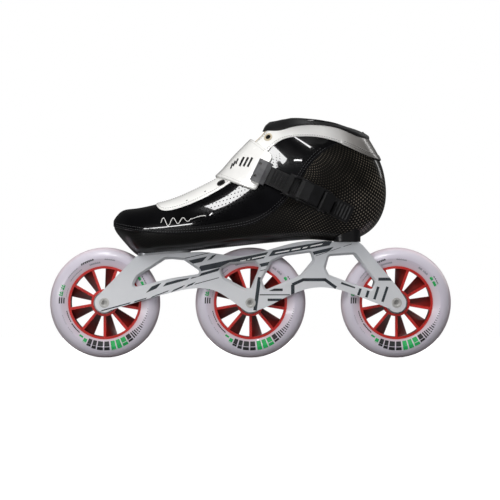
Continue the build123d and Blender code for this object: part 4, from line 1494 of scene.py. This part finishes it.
plate_print.piece("frame_print", "print", "chassis", smooth=False)
pale_print = Batch()
for start, end, width, lean in PALE_BARS:
    print_mark(pale_print, slanted(start, end, width, lean), 0.1)
pale_print.piece("frame_print_dashes", "print_white", "chassis", smooth=False)

TYRE_FACE = [(36.5, 9.8), (44.0, 12.0)]
for step in range(0, 13):
    turn = radians(45 * step / 12)
    TYRE_FACE.append((44.0 + 11.0 * sin(turn), 1.3 + 10.7 * cos(turn)))
for step in range(1, 7):
    turn = radians(45 + 45 * step / 6)
    TYRE_FACE.append((44.0 + 11.0 * sin(turn), 1.3 + 10.7 * cos(turn)))
FACE_R, FACE_Y = (np.array(v) for v in zip(*TYRE_FACE))


def tyre_patch(batch, centre_x, inner, outer, start, end, wave=0.0):
    """A mark on both tyre faces between two radii and two angles in degrees."""
    columns = max(3, int((end - start) / 1.4) + 1)
    rows = max(3, int((outer - inner) / 0.9) + 1)
    for side in (-1, 1):
        grid = []
        for i in range(columns):
            turn = radians(start + (end - start) * i / (columns - 1))
            ripple = wave * (1 if i % 2 else -1)
            row = []
            for j in range(rows):
                radius = inner + (outer + ripple - inner) * j / (rows - 1)
                y = side * (np.interp(radius, FACE_R, FACE_Y) + 0.035)
                row.append(
                    (centre_x + radius * cos(turn), y, AXLE_HEIGHT + radius * sin(turn))
                )
            grid.append(row)
        points, faces = grid_mesh(grid)
        batch.add(points, faces if side < 0 else [tuple(reversed(f)) for f in faces])


# marks on a tyre: material, inner and outer radius, first and last angle, ripple
TYRE_MARKS = [
    ("tyre_green", 39.6, 41.4, -128, -122, 0.0),
    ("tyre_green", 40.2, 44.6, -120, -115, 0.0),
    ("tyre_black", 38.6, 46.0, -113.5, -108, 0.0),
    ("tyre_black", 38.6, 47.0, -106.5, -101, 0.0),
    ("tyre_black", 38.6, 47.4, -99.5, -92, 0.0),
    ("tyre_black", 38.6, 47.4, -90.5, -83.5, 0.0),
    ("tyre_green", 38.6, 47.8, -81.5, -75.5, 0.0),
    ("tyre_green", 38.6, 47.6, -74.0, -68.0, 0.0),
    ("tyre_green", 38.6, 47.2, -66.5, -59.5, 0.0),
    ("tyre_black", 38.8, 46.4, -58.0, -51.4, 0.0),
    ("tyre_black", 39.2, 46.0, -50.0, -48.0, 0.0),
    ("tyre_black", 39.4, 45.8, -46.8, -44.9, 0.0),
    ("tyre_black", 39.8, 45.6, -43.6, -41.8, 0.0),
    ("tyre_black", 40.2, 45.4, -40.4, -38.7, 0.0),
    ("tyre_black", 40.7, 45.2, -37.2, -35.6, 0.0),
    ("tyre_black", 41.2, 45.0, -34.0, -32.5, 0.0),
    ("tyre_black", 41.6, 44.8, -30.8, -29.4, 0.0),
    ("tyre_black", 42.0, 44.6, -27.6, -26.3, 0.0),
    ("tyre_black", 42.3, 44.4, -24.4, -23.2, 0.0),
    ("tyre_black", 42.5, 44.2, -21.2, -20.1, 0.0),
    ("tyre_black", 42.7, 44.1, -18.0, -17.0, 0.0),
    ("tyre_black", 42.9, 44.0, -14.8, -13.9, 0.0),
    ("tyre_black", 43.0, 43.9, -11.6, -10.8, 0.0),
    ("tyre_black", 43.1, 43.8, -8.4, -7.7, 0.0),
    ("tyre_black", 38.2, 38.9, -168, -150, 0.3),
    ("tyre_black", 38.2, 39.2, -148, -130, 0.3),
    ("tyre_grey", 43.4, 43.9, -164, -150, 0.5),
    ("tyre_grey", 43.4, 43.9, -147, -136, 0.5),
    ("tyre_black", 40.0, 41.2, 173, 181, 0.0),
    ("tyre_black", 42.2, 43.4, 173, 181, 0.0),
    ("tyre_black", 44.4, 45.6, 173, 181, 0.0),
    ("tyre_green", 42.4, 46.0, 165, 171, 0.8),
    ("tyre_green", 42.4, 46.0, 156, 163, 0.8),
    ("tyre_grey", 38.4, 38.9, 158, 172, 0.3),
    ("tyre_green", 41.0, 44.6, 23, 30, 0.8),
    ("tyre_green", 41.0, 44.6, 32, 37, 0.8),
    ("tyre_black", 45.2, 45.8, 24, 36, 0.3),
    ("tyre_grey", 40.6, 42.4, 42, 50, 0.5),
    ("tyre_grey", 40.6, 42.4, 52, 58, 0.5),
    ("tyre_grey", 39.4, 41.0, 96, 112, 0.4),
    ("tyre_grey", 42.6, 44.2, 76, 90, 0.4),
    ("tyre_black", 43.4, 45.0, 104, 122, 0.4),
    ("tyre_grey", 39.6, 40.4, 124, 148, 0.4),
    ("tyre_grey", 43.2, 44.0, 128, 146, 0.4),
]
for wheel, wheel_x in WHEELS.items():
    for key in ("tyre_black", "tyre_green", "tyre_grey"):
        marks = Batch()
        for material, inner, outer, start, end, wave in TYRE_MARKS:
            if material == key:
                tyre_patch(marks, wheel_x, inner, outer, start, end, wave)
        marks.piece(f"{wheel}_{key}", key, f"{wheel}_wheel")

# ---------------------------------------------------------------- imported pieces
for wheel in WHEELS:
    dress_node(f"{wheel}_tyre", f"{wheel}_tyre")
    dress_node(f"{wheel}_hub", "hub", 0.35)
    dress_node(f"{wheel}_bearing_outer_rings", "steel")
    dress_node(f"{wheel}_bearing_inner_rings", "steel")
    dress_node(f"{wheel}_bearing_balls", "steel")
    dress_node(f"{wheel}_bearing_cages", "gunmetal")
    dress_node(f"{wheel}_bearing_shields", "gunmetal")
    dress_node(f"{wheel}_axle_spacer", "mount")
    dress_node(f"{wheel}_axle", "axle", 0.2)
for end in ("front", "rear"):
    dress_node(f"{end}_mount_block", "mount" if end == "front" else "nylon")
    dress_node(f"{end}_mounting_bolt", "black_steel")
    dress_node(f"{end}_washer", "steel")
dress_node("frame", "frame", 0.5)
for node, key, bevel in (
    ("buckle_base", "nylon", 0.3),
    ("buckle_mount_screws", "black_steel", 0.0),
    ("lever_axle", "steel", 0.0),
    ("release_axle", "steel", 0.0),
    ("pull_lever", "nylon", 0.3),
    ("release_lever", "nylon", 0.3),
    ("lever_spring", "steel", 0.0),
    ("release_spring", "steel", 0.0),
    ("ladder_strap", "ladder", 0.15),
    ("ladder_clamp", "clamp", 0.4),
    ("clamp_rivets", "gunmetal", 0.0),
    ("strap_rivet", "gunmetal", 0.0),
):
    dress_node(node, key, bevel)

# ---------------------------------------------------------------- studio
def add_light(name, place, aim, size, power, size_y=None, roll=0.0):
    data = bpy.data.lights.new(name, "AREA")
    data.shape = "RECTANGLE"
    data.size = size
    data.size_y = size_y or size
    data.energy = power
    light = bpy.data.objects.new(name, data)
    light.location = place
    light.rotation_euler = (Vector(aim) - Vector(place)).to_track_quat("-Z", "Y").to_euler()
    light.rotation_euler.rotate_axis("Z", radians(roll))
    bpy.context.scene.collection.objects.link(light)
    return light


FLOOR_RADIUS = 3.0
FLOOR_CENTRE_Y = -2.45
FLOOR_CORNERS = 64
floor_shader = Shader("studio_floor")
seen = floor_shader.node("ShaderNodeLightPath").outputs["Is Camera Ray"]
floor_tone = floor_shader.noise(floor_shader.place(), 2.0, 2.0)
pale = floor_shader.ramp(floor_tone, (0.3, rgb(247, 247, 247)), (0.7, rgb(250, 250, 250)))
floor_shader.colour(floor_shader.mix(seen, rgba(96, 96, 96), pale))
floor_shader.set(Roughness=0.95)
floor_shader.feed(floor_shader.surface.inputs["Emission Color"], (1.0, 1.0, 1.0, 1.0))
floor_shader.feed(floor_shader.surface.inputs["Emission Strength"], floor_shader.math("MULTIPLY", seen, 0.72))
floor_mesh = bpy.data.meshes.new("floor")
floor_turns = [2 * pi * k / FLOOR_CORNERS for k in range(FLOOR_CORNERS)]
floor_rim = [(FLOOR_RADIUS * cos(a), FLOOR_RADIUS * sin(a) + FLOOR_CENTRE_Y, 0) for a in floor_turns]
floor_mesh.from_pydata(floor_rim, [], [tuple(range(FLOOR_CORNERS))])
floor_mesh.materials.append(floor_shader.material)
floor = bpy.data.objects.new("floor", floor_mesh)
bpy.context.scene.collection.objects.link(floor)

world = bpy.data.worlds.new("studio_world")
world.use_nodes = True
background = world.node_tree.nodes["Background"]
background.inputs["Color"].default_value = (1, 1, 1, 1)
ray = world.node_tree.nodes.new("ShaderNodeLightPath")
strength = background.inputs["Strength"]
WORLD_LEVEL = 0.22
# what camera rays and glossy rays see, added to the world's level
for output, gain in (("Is Camera Ray", 0.78), ("Is Glossy Ray", -0.18)):
    level = world.node_tree.nodes.new("ShaderNodeMath")
    level.operation = "MULTIPLY_ADD"
    level.inputs[1].default_value = gain
    level.inputs[2].default_value = WORLD_LEVEL
    world.node_tree.links.new(ray.outputs[output], level.inputs[0])
    world.node_tree.links.new(level.outputs[0], strength)
    strength = level.inputs[2]
bpy.context.scene.world = world
bpy.context.scene.view_settings.view_transform = "Standard"

SUBJECT = (0.0, 0.0, 0.12)


def around(azimuth, elevation, distance):
    """A place seen from the skate: azimuth 0 is towards the camera, 90 towards the heel."""
    a, e = radians(azimuth), radians(elevation)
    return (
        distance * sin(a) * cos(e),
        -distance * cos(a) * cos(e),
        SUBJECT[2] + distance * sin(e),
    )


add_light("key_softbox", around(-11, 49, 1.6), SUBJECT, 0.72, 12.5, size_y=0.30, roll=-58)
add_light("toe_strip", around(-34, 3, 1.7), SUBJECT, 0.95, 5, size_y=0.07)
add_light("ankle_strip", around(-7, 25, 1.9), SUBJECT, 0.035, 0.9, size_y=0.22)
add_light("overhead", (0.1, 0.3, 1.9), SUBJECT, 2.4, 26).visible_glossy = False
add_light("front_fill", around(-10, -2, 2.2), SUBJECT, 1.6, 19, size_y=0.6).visible_glossy = False
add_light("rear_strip", around(120, 28, 1.5), SUBJECT, 0.25, 3, size_y=1.0)

camera_data = bpy.data.cameras.new("camera")
camera_data.lens = 180
camera_data.sensor_width = 36
camera_data.clip_start = 0.05
camera = bpy.data.objects.new("camera", camera_data)
camera.location = (-0.0005, -2.5, 0.1075)
camera.rotation_euler = (radians(90), 0, 0)
bpy.context.scene.collection.objects.link(camera)
bpy.context.scene.camera = camera
